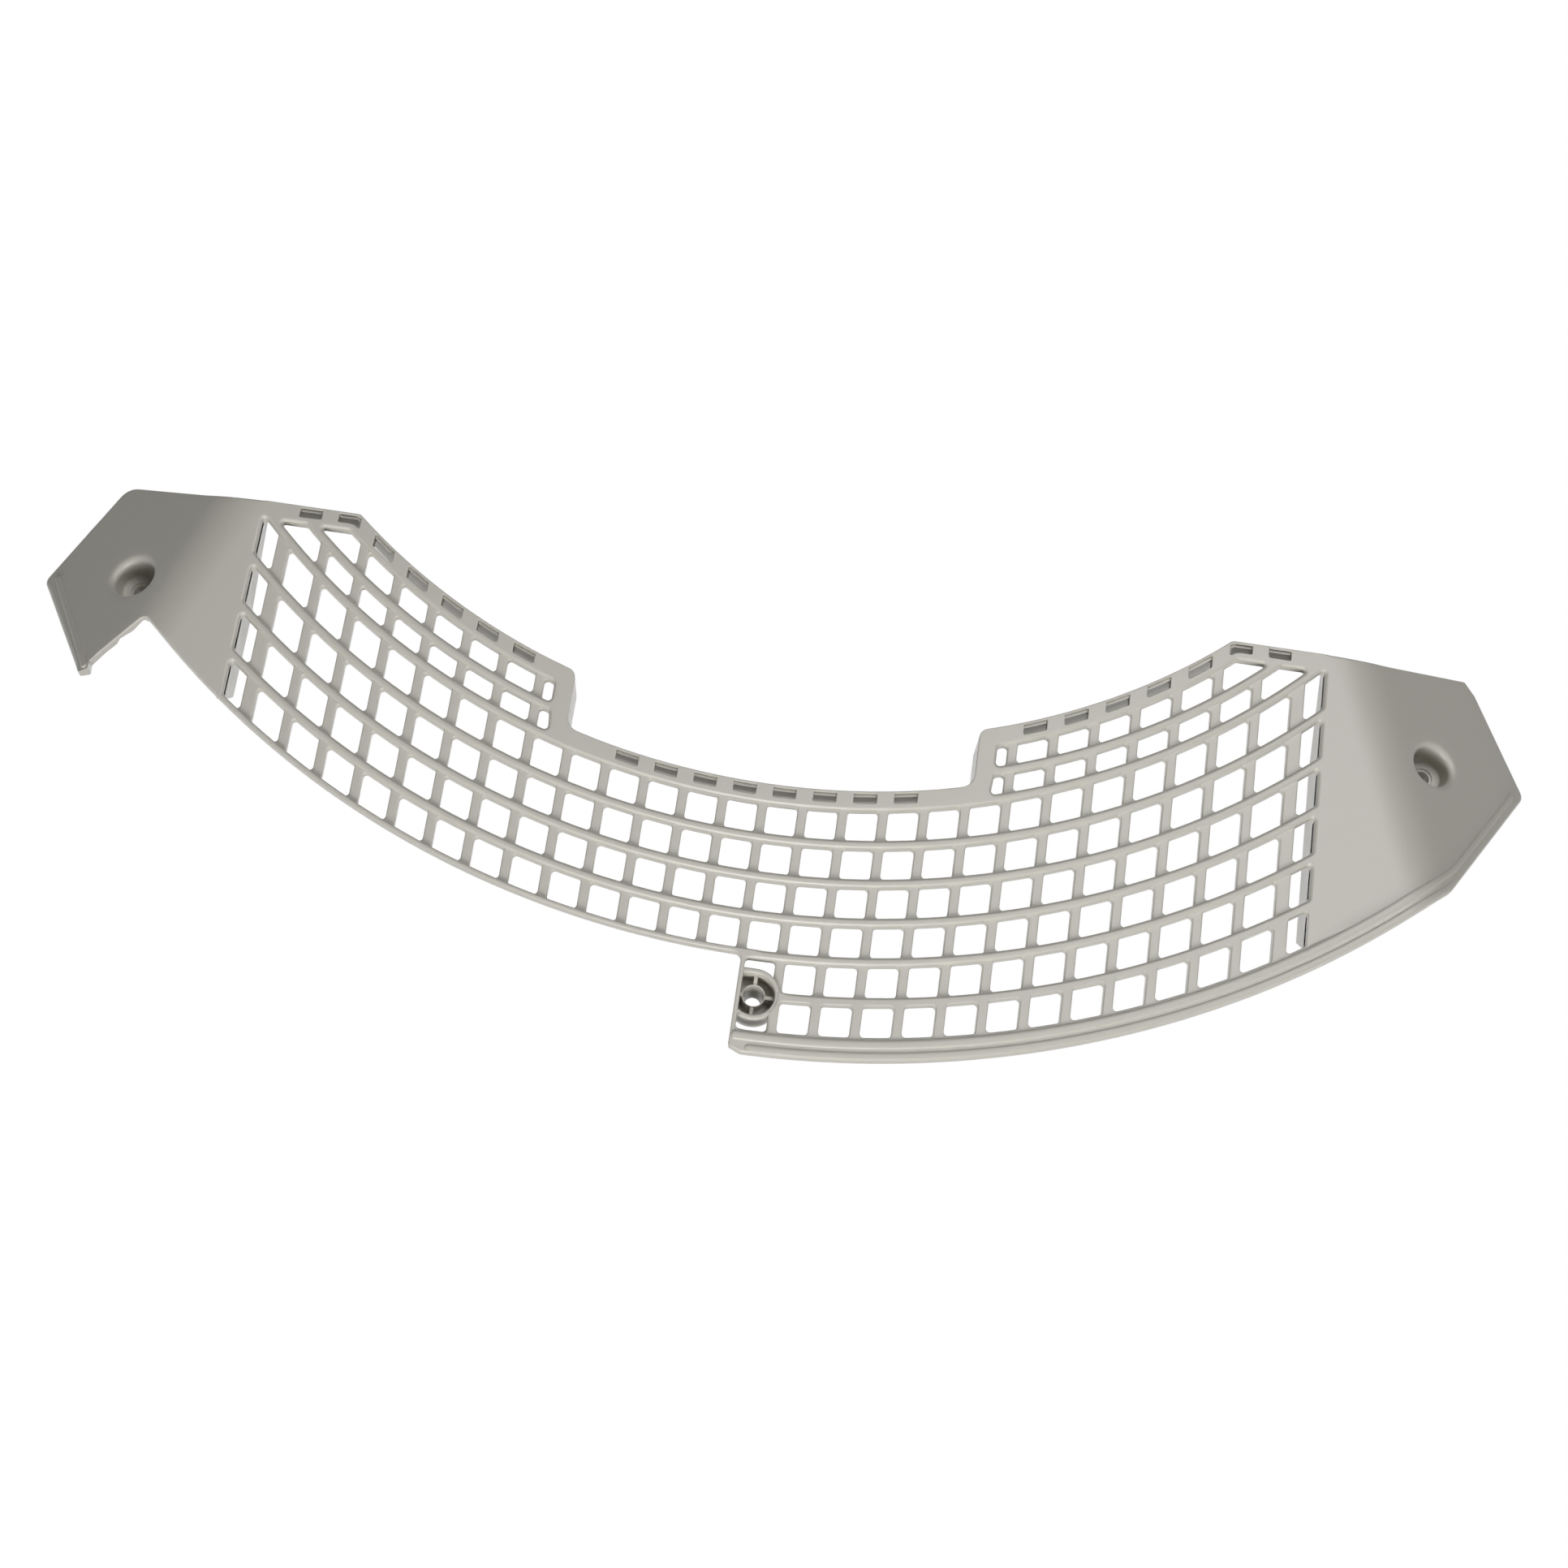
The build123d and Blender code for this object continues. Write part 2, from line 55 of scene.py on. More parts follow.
# Grille
PITCH = 11.5
BAR_HALF = 1.4
RAIL_HALF = 1.25
BAR_SET_BACK = 0.9
PLATE_T = 3.6
SIDE_COLUMNS = 13
END_COLUMN_W = 6.6
LAST_BAR_EXTRA = 1.1
HOLE_CORNER_R = 1.1
HORN_HOLE_CORNER_R = 1.45
RAIL_ROUND = 1.05
BAR_ROUND = 0.45
BAR_BACK_ROUND = 0.25
FRAME_BACK = 1.4
WEB_INSET = 0.03
WEB_OVERLAP = 1.2

# Rows, from the rim down
RIM_TOP_R = 197.8
RIM_W = 5.45
HORN_ROW_H = 6.1
LOW_HORN_ROW_H = 5.7
FULL_ROWS = 4
LOWER_ROWS = 2
LAST_ROW_H = 9.05
BAND_W = 6.6
LEFT_LIP_W = 1.45

# Rim, notch and slots
HORN_X = 129.5
TOP_RIM_W = 5.5
NOTCH_HALF_W = 59.0
NOTCH_RIM_W = 4.4
NOTCH_FRAME_W = 5.6
NOTCH_FOOT_R = 4.5
NOTCH_TOP_R = 3.0
HORN_CORNER_R = 2.0
HORN_HOLE_FOOT_SHIFT = 0.5
RIM_END_GAP = 0.5
FLANGE_T = 1.4
FLANGE_FRONT = 1.3
FLANGE_DEPTH = 10.0
FLANGE_END_GAP = 6.5
NOTCH_WALL_DEPTH = 16.0
NOTCH_WALL_REACH = 0.7
NOTCH_SLOTS = range(0, 4)
HORN_SLOTS = range(6, 13)
SLOT_HALF_W = 3.3
SLOT_H = 3.2
SLOT_SKIN = 0.6
SLOT_FOOT_CORNER_R = 0.5
SLOT_TOP_CORNER_R = 0.3
SLOT_ROUND = 0.15
RIM_ROUND = 0.3

# Outer edge, with its bead and its lip
CUT_X = 0.3
CUT_CORNER_R = 2.0
CUT_FOOT = (3.6, 1.5)
CUT_FOOT_R = 2.0
CUT_FOOT_END_R = 0.9
CUT_FOOT_ROOM = 3.0
EDGE_CORNER_ROOM = 5.0
EDGE_ROUND = 0.7
SHARP_ROUND = 0.25
THIN_ROUND = 0.55
CUT_ROUND = 0.4
LEFT_EDGE_ROUND = 1.4
LEFT_EDGE_ROUND_ALONG = (0.02, 0.1, 0.9, 0.97)
BEAD_H = 0.65
BEAD_INSET = 4.6
BEAD_HALF_W = 1.4
BEAD_FROM_CUT = 0.4
BEAD_TURN_R = 25.0
BEAD_TURN_ROOM = 9.0
BEAD_SINK = 0.35
RAMP_SINK = 0.03
WING_BEAD_BLEND = 12.0
WING_BEAD_HALF_W = 1.05
RIGHT_BEAD_INSETS = (3.2, 3.0)
RIGHT_BEAD_TIP_GAP = 3.0
LEFT_BEAD_INSETS = (2.2, 3.7)
LEFT_BEAD_FOOT_GAP = 0.4
LEFT_BEAD_TIP_GAP = 1.0
RIDGE_OUT = 1.45
RIDGE_HALF_W = 0.35
RIDGE_H = 0.3
RAMP_W = 3.3
RAMP_H = 0.3
RAMP_FROM_GRILLE = (1.0, 12.0)
RAMP_FROM_CUT = (1.0, 8.0)
LIP_HALF_W = 1.1
LIP_H = 0.45
LIP_INSET = 1.3
LIP_FROM_CUT = 4.6
WING_LIP_INSET = 1.1
WING_LIP_HALF_W = 0.8
WING_LIP_LOWER = 0.5

# Wings: places outwards from the grille and down from the top edge
BEND_OUT = 9.3
BEND_LEAN = radians(19.5)
BEND_ANGLE = radians(30.0)
BEND_R = 32.0
WING_T = 3.2
WING_TOP_START = 2.5
WING_TOP_SWING_R = 90.0
WING_TOP_RISE = radians(12.0)
WING_TOP_CORNER_OUT = 46.9
WING_TOP_CORNER_R = 0.8
WING_TOP_CHAMFER = 3.7
WING_TOP_CHAMFER_R = 1.2
WING_TOP_ROUND = 5.0
RIGHT_TIP = (67.7, 25.3)
LEFT_TIP = (65.8, 25.0)
WING_TIP_R = 3.0
WING_FOOT_OUT = 41.7
WING_FOOT_R = 6.0
WING_FOOT_ROOM = 8.0
LEFT_CUT_INNER_OUT = 27.5
LEFT_CUT_INNER_R = 2.0
LEFT_CUT_TIP_AT = (44.1, 58.9)
LEFT_CUT_TIP_R = 0.6
LEFT_CUT_FOOT_AT = (41.3, 57.9)
LEFT_CUT_FOOT_R = 0.3
LEFT_CUT_HEEL_AT = (41.5, 55.1)
LEFT_CUT_HEEL_R = 0.4
LEFT_WALL_ALONG = (0.0, 0.26, 0.48, 0.5, 0.75, 1.0)
LEFT_WALL_DEPTHS = (1.6, 3.5, 1.8, 3.5, 3.2, 4.0)
LEFT_FOOT_DEPTH = 4.6

# Ribs behind the wings' inner edges
RIB_T = 2.0
RIB_TOP_DEPTH = 7.0
RIB_DEPTH = 14.0
RIB_SLOPE_H = 32.0
RIB_FOOT_DEPTH = 3.5
RIB_FOOT_H = 5.0
RIB_TOP_GAP = 0.3
LEFT_RIB_FOOT_GAP = 1.0

# Wing screws
FACE_TO_SEAT = 30.0
SCREW_OUT = 35.0
SCREW_DOWN = 26.5
SCREW_HOLE_R = 2.35
SCREW_STEP_R = 3.15
COUNTERBORE_MOUTH_R = 6.2
COUNTERBORE_FLOOR_R = 5.4
COUNTERBORE_LIP = 1.9
COUNTERBORE_LIP_SWING = 0.55
COUNTERBORE_FIT = 0.02
COUNTERBORE_FOOT_W = 0.3
COUNTERBORE_FOOT_H = 0.6
COUNTERBORE_FOOT_LOW_H = 0.15
SCREW_STEP_H = 0.5
BOSS_R = 8.0
BOSS_EDGE = 0.4
BOSS_STEP_DEPTH = 22.0
BOSS_FOOT_R = 4.2
BOSS_FOOT_EDGE = 0.3
SCREW_FLOOR_T = 9.8

# Lower screw
CUP_FROM_CUT = 5.0
CUP_R = 7.3
CUP_WALL = 1.4
CUP_FLAT_WALL = 1.2
CUP_FLAT_SET_BACK = 0.7
CUP_DEPTH = 9.0
CUP_FLOOR_T = 1.6
CUP_FRAME_W = 1.3
CUP_ROUND = 0.45
CUP_BACK_GAP = 0.05
TUBE_R = 3.3
TUBE_MOUTH_R = 3.0
TUBE_HOLE_R = 2.3
TUBE_HOLE_L = 5.4
TUBE_SET_BACK = 2.4
TUBE_BEHIND_CUP = 4.4
TUBE_FRONT_EDGE = (0.1, 0.15)
TUBE_BACK_EDGE = 0.3
CUP_RIB_T = 1.1
CUP_RIB_SET_BACK = 2.6
CUP_RIB_ROUND = 0.2
CUP_RIB_OVERLAP = 0.3
CUP_RIB_FLOOR_OVERLAP = 0.2

# Meshes: spacing of points, angles that stay smooth, and overlaps of pieces
FAR_ABOVE = 100.0
ARC_GAP = 2.0
OPENING_GAP = 3.0
OUTLINE_GAP = 1.6
CUP_GAP = 1.0
SLOT_POINTS = 5
SLOT_CORNER_STEPS = 3
BAR_ROUND_STEPS = 4
BEAD_GAP = 1.5
SMOOTH_ANGLE = 35.0
BEAD_SMOOTH_ANGLE = 75.0
NORMAL_WEIGHT = 90
CORNER_SHARE = 0.48
MITRE_LIMIT = 0.35
CORNER_CLEARANCE = 2.2
SHORTEST_SIDE = 0.2
MIDDLE_CORNER = 1.5
WING_OVERLAP = 0.1
BEND_LINES = 15
BEND_LINES_PAST = 1.0
BEND_ALONG = np.arange(-8.0, 90.0, 4.0)
WING_GRID_X = np.arange(176.0, 222.0, 5.0)
WING_GRID_Y = np.arange(-146.0, -212.0, -5.0)
WING_GRID_FROM_BEND = 4.0
INSIDE_FROM_EDGE = 2.2
INSIDE_FROM_GRILLE = 0.3
INSIDE_FROM_BORE = 0.8
BEAD_STEPS = np.linspace(0.0, 1.0, 27)
BEAD_END_TURNS = np.linspace(0.15, pi / 2, 6)
BEAD_TURN_STEPS = 8
LEFT_BEAD_POINTS = 30
CIRCLE_STEPS = 56
CORNER_STEPS = 5
ROUND_STEPS = 5
SWING_POINTS = 8
CUP_SIDE_POINTS = 9
CUP_TURN_POINTS = 40
BEAD_FLUSH = 0.005
RAMP_FOOT_SHARE = 0.8

# How near a place lies to an edge whose rounding or depth it takes
NEAR_GRILLE_END = 0.05
NEAR_TOP = 0.2
NEAR_NOTCH = 0.5
NEAR_CUT_X = 0.1
NEAR_LEFT_ARC = 1.0
CUT_SIDE_X = (-3.0, 1.0)
CUT_SIDE_BELOW = 0.5
NEAR_HEEL = (1.5, 2.0)
NEAR_LEFT_EDGE = 0.3
NEAR_LEFT_WALL = 0.5
LEFT_WALL_END = 1.02
NEAR_LEFT_FOOT = 0.3
BELOW_HEEL = 0.2
LEFT_LIP_TO_X = 4.0
LEFT_LIP_REACH = 2.5
NEAR_CUP_FLAT = 0.2

# Plastic: pale warm grey with a fine grain
PLASTIC_COLOUR = (0.62, 0.60, 0.54, 1.0)
PLASTIC_ROUGHNESS = 0.4
PLASTIC_SPECULAR = 0.7
GRAIN_SCALE = 1400.0
GRAIN_DETAIL = 2.0
GRAIN_STRENGTH = 0.05
GRAIN_DEPTH_M = 0.0002


def drop(radius, x):
    """Height below the axis on an arc."""
    return -sqrt(max(radius * radius - x * x, 0.0))


# Radii and places that follow from these sizes
HORN_RAIL_R = RIM_TOP_R + RIM_W + HORN_ROW_H + RAIL_HALF
FIRST_RAIL_R = HORN_RAIL_R + 2 * RAIL_HALF + LOW_HORN_ROW_H
NOTCH_R = FIRST_RAIL_R - NOTCH_RIM_W
LEFT_EDGE_R = FIRST_RAIL_R + FULL_ROWS * PITCH - RAIL_HALF + LEFT_LIP_W
LAST_RAIL_R = FIRST_RAIL_R + (FULL_ROWS + LOWER_ROWS - 1) * PITCH
OUTER_R = LAST_RAIL_R + RAIL_HALF + LAST_ROW_H + BAND_W
GRILLE_HALF_W = SIDE_COLUMNS * PITCH + BAR_HALF + END_COLUMN_W
FLANGE_END_X = GRILLE_HALF_W - FLANGE_END_GAP
RIM_END_X = GRILLE_HALF_W - RIM_END_GAP
BEND_X = GRILLE_HALF_W + BEND_OUT
TOP_EDGE = drop(RIM_TOP_R, HORN_X)
WINDOW_TOP = TOP_EDGE - TOP_RIM_W
ARC_AXIS_Z = SCREW_DOWN - TOP_EDGE
SCREW_X = GRILLE_HALF_W + SCREW_OUT
CUP_X = CUT_X + CUP_FROM_CUT
CUP_Y = -LAST_RAIL_R
CUP_WINDOW_X = CUT_X + CUP_FRAME_W


def wing_place(out_and_down):
    """Front-view place of a point given outwards from the grille and down from the top edge."""
    return (GRILLE_HALF_W + out_and_down[0], TOP_EDGE - out_and_down[1])


def world(points, depth):
    """Places in the part's frame, in metres, of front-view points at their depths."""
    points = np.asarray(points, float)
    depth = np.broadcast_to(np.asarray(depth, float), (len(points),))
    return np.column_stack((points[:, 0], depth - FACE_TO_SEAT, points[:, 1] + ARC_AXIS_Z)) * MM


def bend_depth(points):
    """How far back the face lies: flat on the grille, bent back on both wings."""
    points = np.asarray(points, float)
    across = (np.abs(points[:, 0]) - BEND_X) * cos(BEND_LEAN) + (points[:, 1] - TOP_EDGE) * sin(BEND_LEAN)
    tangent = BEND_R * tan(BEND_ANGLE / 2)
    swept = np.clip(across + tangent, 0, BEND_R * sin(BEND_ANGLE))
    in_bend = BEND_R - np.sqrt(BEND_R**2 - swept**2)
    beyond = np.maximum(across + tangent - BEND_R * sin(BEND_ANGLE), 0)
    return in_bend + beyond * tan(BEND_ANGLE)


class Shell:
    """Collects vertices and faces for one mesh."""

    def __init__(self):
        self.verts = []
        self.faces = []
        self.count = 0

    def add(self, points):
        """Adds points and gives their numbers."""
        points = np.asarray(points, float)
        numbers = np.arange(self.count, self.count + len(points))
        self.verts.append(points)
        self.count += len(points)
        return numbers

    def strip(self, one, two, closed=True):
        """Quads between two rows of points."""
        n = len(one)
        for i in range(n if closed else n - 1):
            j = (i + 1) % n
            self.faces.append((one[i], one[j], two[j], two[i]))

    def sweep(self, rows, closed=True):
        """Quads from each row to the next and from the last to the first. Open rows get flat ends."""
        for one, two in zip(rows, rows[1:] + rows[:1]):
            self.strip(one, two, closed)
        if not closed:
            self.faces.append(tuple(row[0] for row in rows))
            self.faces.append(tuple(row[-1] for row in rows))

    def make(self, name, smooth=SMOOTH_ANGLE):
        """The mesh as an object that takes the place of the CAD node."""
        mesh = bpy.data.meshes.new(name)
        faces = [tuple(int(i) for i in f) for f in self.faces]
        mesh.from_pydata(np.concatenate(self.verts).tolist(), [], faces)
        mesh.validate()
        solid = bmesh.new()
        solid.from_mesh(mesh)
        bmesh.ops.recalc_face_normals(solid, faces=solid.faces)
        solid.to_mesh(mesh)
        solid.free()
        mesh.shade_smooth()
        mesh.set_sharp_from_angle(angle=radians(smooth))
        obj = bpy.data.objects.new(name, mesh)
        bpy.context.scene.collection.objects.link(obj)
        weighted = obj.modifiers.new("weighted", "WEIGHTED_NORMAL")
        weighted.keep_sharp = True
        weighted.weight = NORMAL_WEIGHT
        obj.data.materials.append(plastic)
        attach(obj, "root")
        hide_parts("lint_filter_cover")
        return obj


def offset_line(points, amount):
    """A closed line moved to its left, with mitred corners."""
    points = np.asarray(points, float)
    amount = np.broadcast_to(np.asarray(amount, float), (len(points),))
    before = points - np.roll(points, 1, axis=0)
    after = np.roll(points, -1, axis=0) - points
    before /= np.linalg.norm(before, axis=1)[:, None]
    after /= np.linalg.norm(after, axis=1)[:, None]
    left_before = np.column_stack((-before[:, 1], before[:, 0]))
    left_after = np.column_stack((-after[:, 1], after[:, 0]))
    mitre = left_before + left_after
    mitre /= np.maximum((mitre * left_before).sum(axis=1), MITRE_LIMIT)[:, None]
    return points + mitre * amount[:, None]


def area(points):
    """Signed area of a closed line."""
    points = np.asarray(points, float)
    nxt = np.roll(points, -1, axis=0)
    return 0.5 * float((points[:, 0] * nxt[:, 1] - nxt[:, 0] * points[:, 1]).sum())


def turned(points, outer):
    """A closed line with the material on its left: an outline turns left, a hole turns right."""
    points = np.asarray(points, float)
    return points if (area(points) > 0) == outer else points[::-1]


def spaced(points, gap):
    """A closed line with extra points, so that no step is longer than the gap."""
    result = []
    for i, start in enumerate(points):
        end = points[(i + 1) % len(points)]
        run = sqrt((end[0] - start[0])**2 + (end[1] - start[1])**2)
        steps = max(1, int(np.ceil(run / gap)))
        for k in range(steps):
            x = start[0] + (end[0] - start[0]) * k / steps
            y = start[1] + (end[1] - start[1]) * k / steps
            result.append((x, y))
    return result


def rounded(points, radii, steps=CORNER_STEPS):
    """A closed line with its corners rounded, each to its own radius."""
    result = []
    n = len(points)
    for i, corner in enumerate(points):
        radius = radii[i] if hasattr(radii, "__len__") else radii
        corner = Vector(corner)
        to_before = Vector(points[i - 1]) - corner
        to_after = Vector(points[(i + 1) % n]) - corner
        if radius <= 0:
            result.append(tuple(corner))
            continue
        angle = to_before.angle(to_after)
        room = CORNER_SHARE * min(to_before.length, to_after.length)
        reach = min(radius / tan(angle / 2), room)
        radius = reach * tan(angle / 2)
        start = corner + to_before.normalized() * reach
        end = corner + to_after.normalized() * reach
        to_middle = (to_before.normalized() + to_after.normalized()).normalized()
        centre = corner + to_middle * (radius / sin(angle / 2))
        first = (start - centre).normalized()
        last = (end - centre).normalized()
        turn = first.angle(last)
        for k in range(steps + 1):
            t = k / steps
            direction = first * sin((1 - t) * turn) + last * sin(t * turn)
            spot = centre + direction.normalized() * radius
            result.append((spot.x, spot.y))
    return result


def arc(radius, x_from, x_to, gap=ARC_GAP):
    """Points on an arc about the axis, from one x to another."""
    steps = max(1, int(np.ceil(abs(x_to - x_from) / gap)))
    return [(x, drop(radius, x)) for x in np.linspace(x_from, x_to, steps + 1)]


def fill(shell, rings, up, inner_points=None):
    """Closes the region between an outline and its holes with triangles, through any inner points."""
    coords = []
    numbers = []
    edges = []
    for ring, points in rings:
        start = len(coords)
        coords += [Vector((float(p[0]), float(p[1]))) for p in points]
        numbers += list(ring)
        n = len(points)
        edges += [(start + i, start + (i + 1) % n) for i in range(n)]
    if inner_points is not None and len(inner_points[1]):
        coords += [Vector((float(p[0]), float(p[1]))) for p in inner_points[1]]
        numbers += list(inner_points[0])
    out, _, faces, origin, _, _ = delaunay_2d_cdt(coords, edges, [], 0, 1e-6)
    place_of = {}
    for spot, sources in enumerate(origin):
        for source in sources:
            place_of[source] = spot
    faces = [tuple(f) if area([out[i] for i in f]) > 0 else tuple(reversed(f)) for f in faces]
    owner = {}
    for number, f in enumerate(faces):
        for k in range(3):
            owner[(f[k], f[(k + 1) % 3])] = number
    bounds = [(place_of[i], place_of[j]) for i, j in edges]
    walls = set(bounds) | {(j, i) for i, j in bounds}
    queue = [owner[edge] for edge in bounds if edge in owner]
    kept = set(queue)
    while queue:
        f = faces[queue.pop()]
        for k in range(3):
            edge = (f[k], f[(k + 1) % 3])
            beyond = owner.get((edge[1], edge[0]))
            if edge in walls or beyond is None or beyond in kept:
                continue
            kept.add(beyond)
            queue.append(beyond)
    for number in sorted(kept):
        if not all(origin[i] for i in faces[number]):
            continue
        corner = [numbers[origin[i][0]] for i in faces[number]]
        shell.faces.append(tuple(corner) if up else tuple(reversed(corner)))


def plate(shell, contours, top, bottom, steps=ROUND_STEPS, back_round=0.0, inner=None, depth_of=None):
    """A plate with an outline and holes.

    Each contour is its points, whether it is the outline, and the radius of its front edge.
    """
    lay = depth_of if depth_of is not None else (lambda p: np.zeros(len(p)))
    top_rings = []
    back_rings = []
    for points, outer, radius in contours:
        points = turned(points, outer)
        radius = radius(points) if callable(radius) else np.full(len(points), float(radius))
        low = bottom(points) if callable(bottom) else np.full(len(points), bottom)
        rows = []
        if back_round > 0:
            moved = offset_line(points, back_round)
            rows.append((moved, lay(moved) + low))
            rows.append((points, lay(points) + low - back_round))
        else:
            rows.append((points, lay(points) + low))
        for k in range(steps + 1):
            turn = k / steps * pi / 2
            moved = offset_line(points, radius * (1 - cos(turn)))
            rows.append((moved, lay(moved) + top + radius * (1 - sin(turn))))
        numbers = [shell.add(world(p, d)) for p, d in rows]
        for one, two in zip(numbers, numbers[1:]):
            shell.strip(one, two)
        back_rings.append((numbers[0], rows[0][0]))
        top_rings.append((numbers[-1], rows[-1][0]))
    front_inner = None
    back_inner = None
    if inner is not None and len(inner):
        inner = np.asarray(inner, float)
        front_inner = (shell.add(world(inner, lay(inner) + top)), inner)
        low = bottom(inner) if callable(bottom) else np.full(len(inner), bottom)
        back_inner = (shell.add(world(inner, lay(inner) + low)), inner)
    fill(shell, top_rings, True, front_inner)
    fill(shell, back_rings, False, back_inner)


# Material: moulded plastic
plastic = bpy.data.materials.new("cover_plastic")
plastic.use_nodes = True
nodes = plastic.node_tree.nodes
links = plastic.node_tree.links
shader = nodes["Principled BSDF"]
shader.inputs["Base Color"].default_value = PLASTIC_COLOUR
shader.inputs["Roughness"].default_value = PLASTIC_ROUGHNESS
shader.inputs["Specular IOR Level"].default_value = PLASTIC_SPECULAR
coords = nodes.new("ShaderNodeTexCoord")
grain = nodes.new("ShaderNodeTexNoise")
grain.inputs["Scale"].default_value = GRAIN_SCALE
grain.inputs["Detail"].default_value = GRAIN_DETAIL
bump = nodes.new("ShaderNodeBump")
bump.inputs["Strength"].default_value = GRAIN_STRENGTH
bump.inputs["Distance"].default_value = GRAIN_DEPTH_M
links.new(coords.outputs["Object"], grain.inputs["Vector"])
links.new(grain.outputs["Fac"], bump.inputs["Height"])
links.new(bump.outputs["Normal"], shader.inputs["Normal"])


# Openings of the grille
def top_reach(radius):
    """How far out an arc meets the straight top of the windows."""
    return sqrt(radius**2 - WINDOW_TOP**2)


def opening(inner_r, outer_r, x_near, x_far, corner=HOLE_CORNER_R, foot_shift=0.0):
    """One opening between two rails, on the right, with rounded corners."""
    low_x = min(x_far, top_reach(outer_r))
    high_x = min(x_far, top_reach(inner_r))
    points = arc(outer_r, x_near - foot_shift, low_x, OPENING_GAP)
    radii = [corner] + [0.0] * (len(points) - 2) + [corner]
    if high_x < x_far and low_x == x_far and WINDOW_TOP - points[-1][1] > SHORTEST_SIDE:
        points.append((x_far, WINDOW_TOP))
        radii.append(corner)
    upper = arc(inner_r, high_x, x_near, OPENING_GAP)
    points += upper
    radii += [corner] + [0.0] * (len(upper) - 2) + [corner]
    return rounded(points, radii)


def past_bar(column):
    """The far side of a bar. The last bar is wider there."""
    return column * PITCH + BAR_HALF + (LAST_BAR_EXTRA if column == SIDE_COLUMNS else 0.0)


def mirrored(points):
    """The same line on the left."""
    return [(-x, y) for x, y in reversed(points)]


horn_edges = [
    (RIM_TOP_R + RIM_W, HORN_RAIL_R - RAIL_HALF),
    (HORN_RAIL_R + RAIL_HALF, FIRST_RAIL_R - RAIL_HALF),
]
rail_radii = [FIRST_RAIL_R + row * PITCH for row in range(FULL_ROWS + LOWER_ROWS)]
row_edges = [(r + RAIL_HALF, r + PITCH - RAIL_HALF) for r in rail_radii]
row_edges[-1] = (row_edges[-1][0], OUTER_R - BAND_W)
horn_inner_x = NOTCH_HALF_W + NOTCH_FRAME_W
first_horn_bar = int(horn_inner_x / PITCH) + 1

web_holes = []
windows = []
flush_holes = []
for row, (inner_r, outer_r) in enumerate(horn_edges):
    foot_shift = HORN_HOLE_FOOT_SHIFT * row
    bar_columns = list(range(first_horn_bar, SIDE_COLUMNS - 1 + row))
    near = [horn_inner_x] + [k * PITCH + BAR_HALF for k in bar_columns]
    far = [k * PITCH - BAR_HALF for k in bar_columns] + [GRILLE_HALF_W]
    for i, (a, b) in enumerate(zip(near, far)):
        if i == 0:
            hole = opening(inner_r, outer_r, a, b, HORN_HOLE_CORNER_R, foot_shift)
        else:
            hole = opening(inner_r, outer_r, a, b)
        web_holes += [hole, mirrored(hole)]
    window = opening(inner_r, outer_r, horn_inner_x, GRILLE_HALF_W, HORN_HOLE_CORNER_R, foot_shift)
    windows += [window, mirrored(window)]
for inner_r, outer_r in row_edges[:FULL_ROWS]:
    near = [past_bar(k) for k in range(SIDE_COLUMNS + 1)]
    far = [k * PITCH - BAR_HALF for k in range(1, SIDE_COLUMNS + 1)] + [GRILLE_HALF_W]
    for a, b in zip(near, far):
        hole = opening(inner_r, outer_r, a, b)
        web_holes += [hole, mirrored(hole)]
    half = opening(inner_r, outer_r, 0.0, GRILLE_HALF_W)
    right_half = [p for p in half if p[0] > MIDDLE_CORNER]
    windows.append(right_half + mirrored(right_half))

# In the two lower rows the first openings make one hole round the cup of the lower screw
near = [past_bar(k) for k in range(1, SIDE_COLUMNS + 1)]
far = [k * PITCH - BAR_HALF for k in range(2, SIDE_COLUMNS + 1)] + [GRILLE_HALF_W]
upper_row, last_row = row_edges[FULL_ROWS:]
last_cells = [opening(*last_row, a, b) for a, b in zip(near, far)]
web_holes += [opening(*upper_row, a, b) for a, b in zip(near, far)] + last_cells
flush_holes += last_cells


def cup_side(from_y, to_y):
    """Points down the right side of the cup, in the middle of its wall."""
    radius = CUP_R - CUP_WALL / 2
    return [(CUP_X + sqrt(radius**2 - (y - CUP_Y)**2), y) for y in np.linspace(from_y, to_y, CUP_SIDE_POINTS)]


def cup_hole(right_x, upper_right):
    """The hole round the cup: across the top to the right, down beside the cup and back along the band."""
    bar_side = PITCH - BAR_HALF
    bulge = sqrt((CUP_R - CUP_WALL / 2)**2 - (bar_side - CUP_X)**2)
    top = arc(upper_row[0], CUP_WINDOW_X, right_x, OPENING_GAP)
    side = cup_side(upper_right[-1][1] if len(upper_right) else CUP_Y + bulge, CUP_Y - bulge)
    foot = arc(last_row[1], bar_side, CUP_WINDOW_X, OPENING_GAP)
    corner = HOLE_CORNER_R
    points = top + upper_right + side + foot
    radii = [corner] + [0.0] * (len(top) - 2) + [corner]
    radii += ([corner] + [0.0] * (len(upper_right) - 1)) if len(upper_right) else []
    radii += [0.0] * len(side) + [corner] + [0.0] * (len(foot) - 2) + [corner]
    return rounded(points, radii)


web_holes.append(cup_hole(PITCH - BAR_HALF, []))
rail_end_x = CUP_X + sqrt((CUP_R - CUP_WALL / 2)**2 - RAIL_HALF**2)
rail_under = arc(upper_row[1], GRILLE_HALF_W, rail_end_x + SHORTEST_SIDE, OPENING_GAP)
windows.append(cup_hole(GRILLE_HALF_W, rail_under))


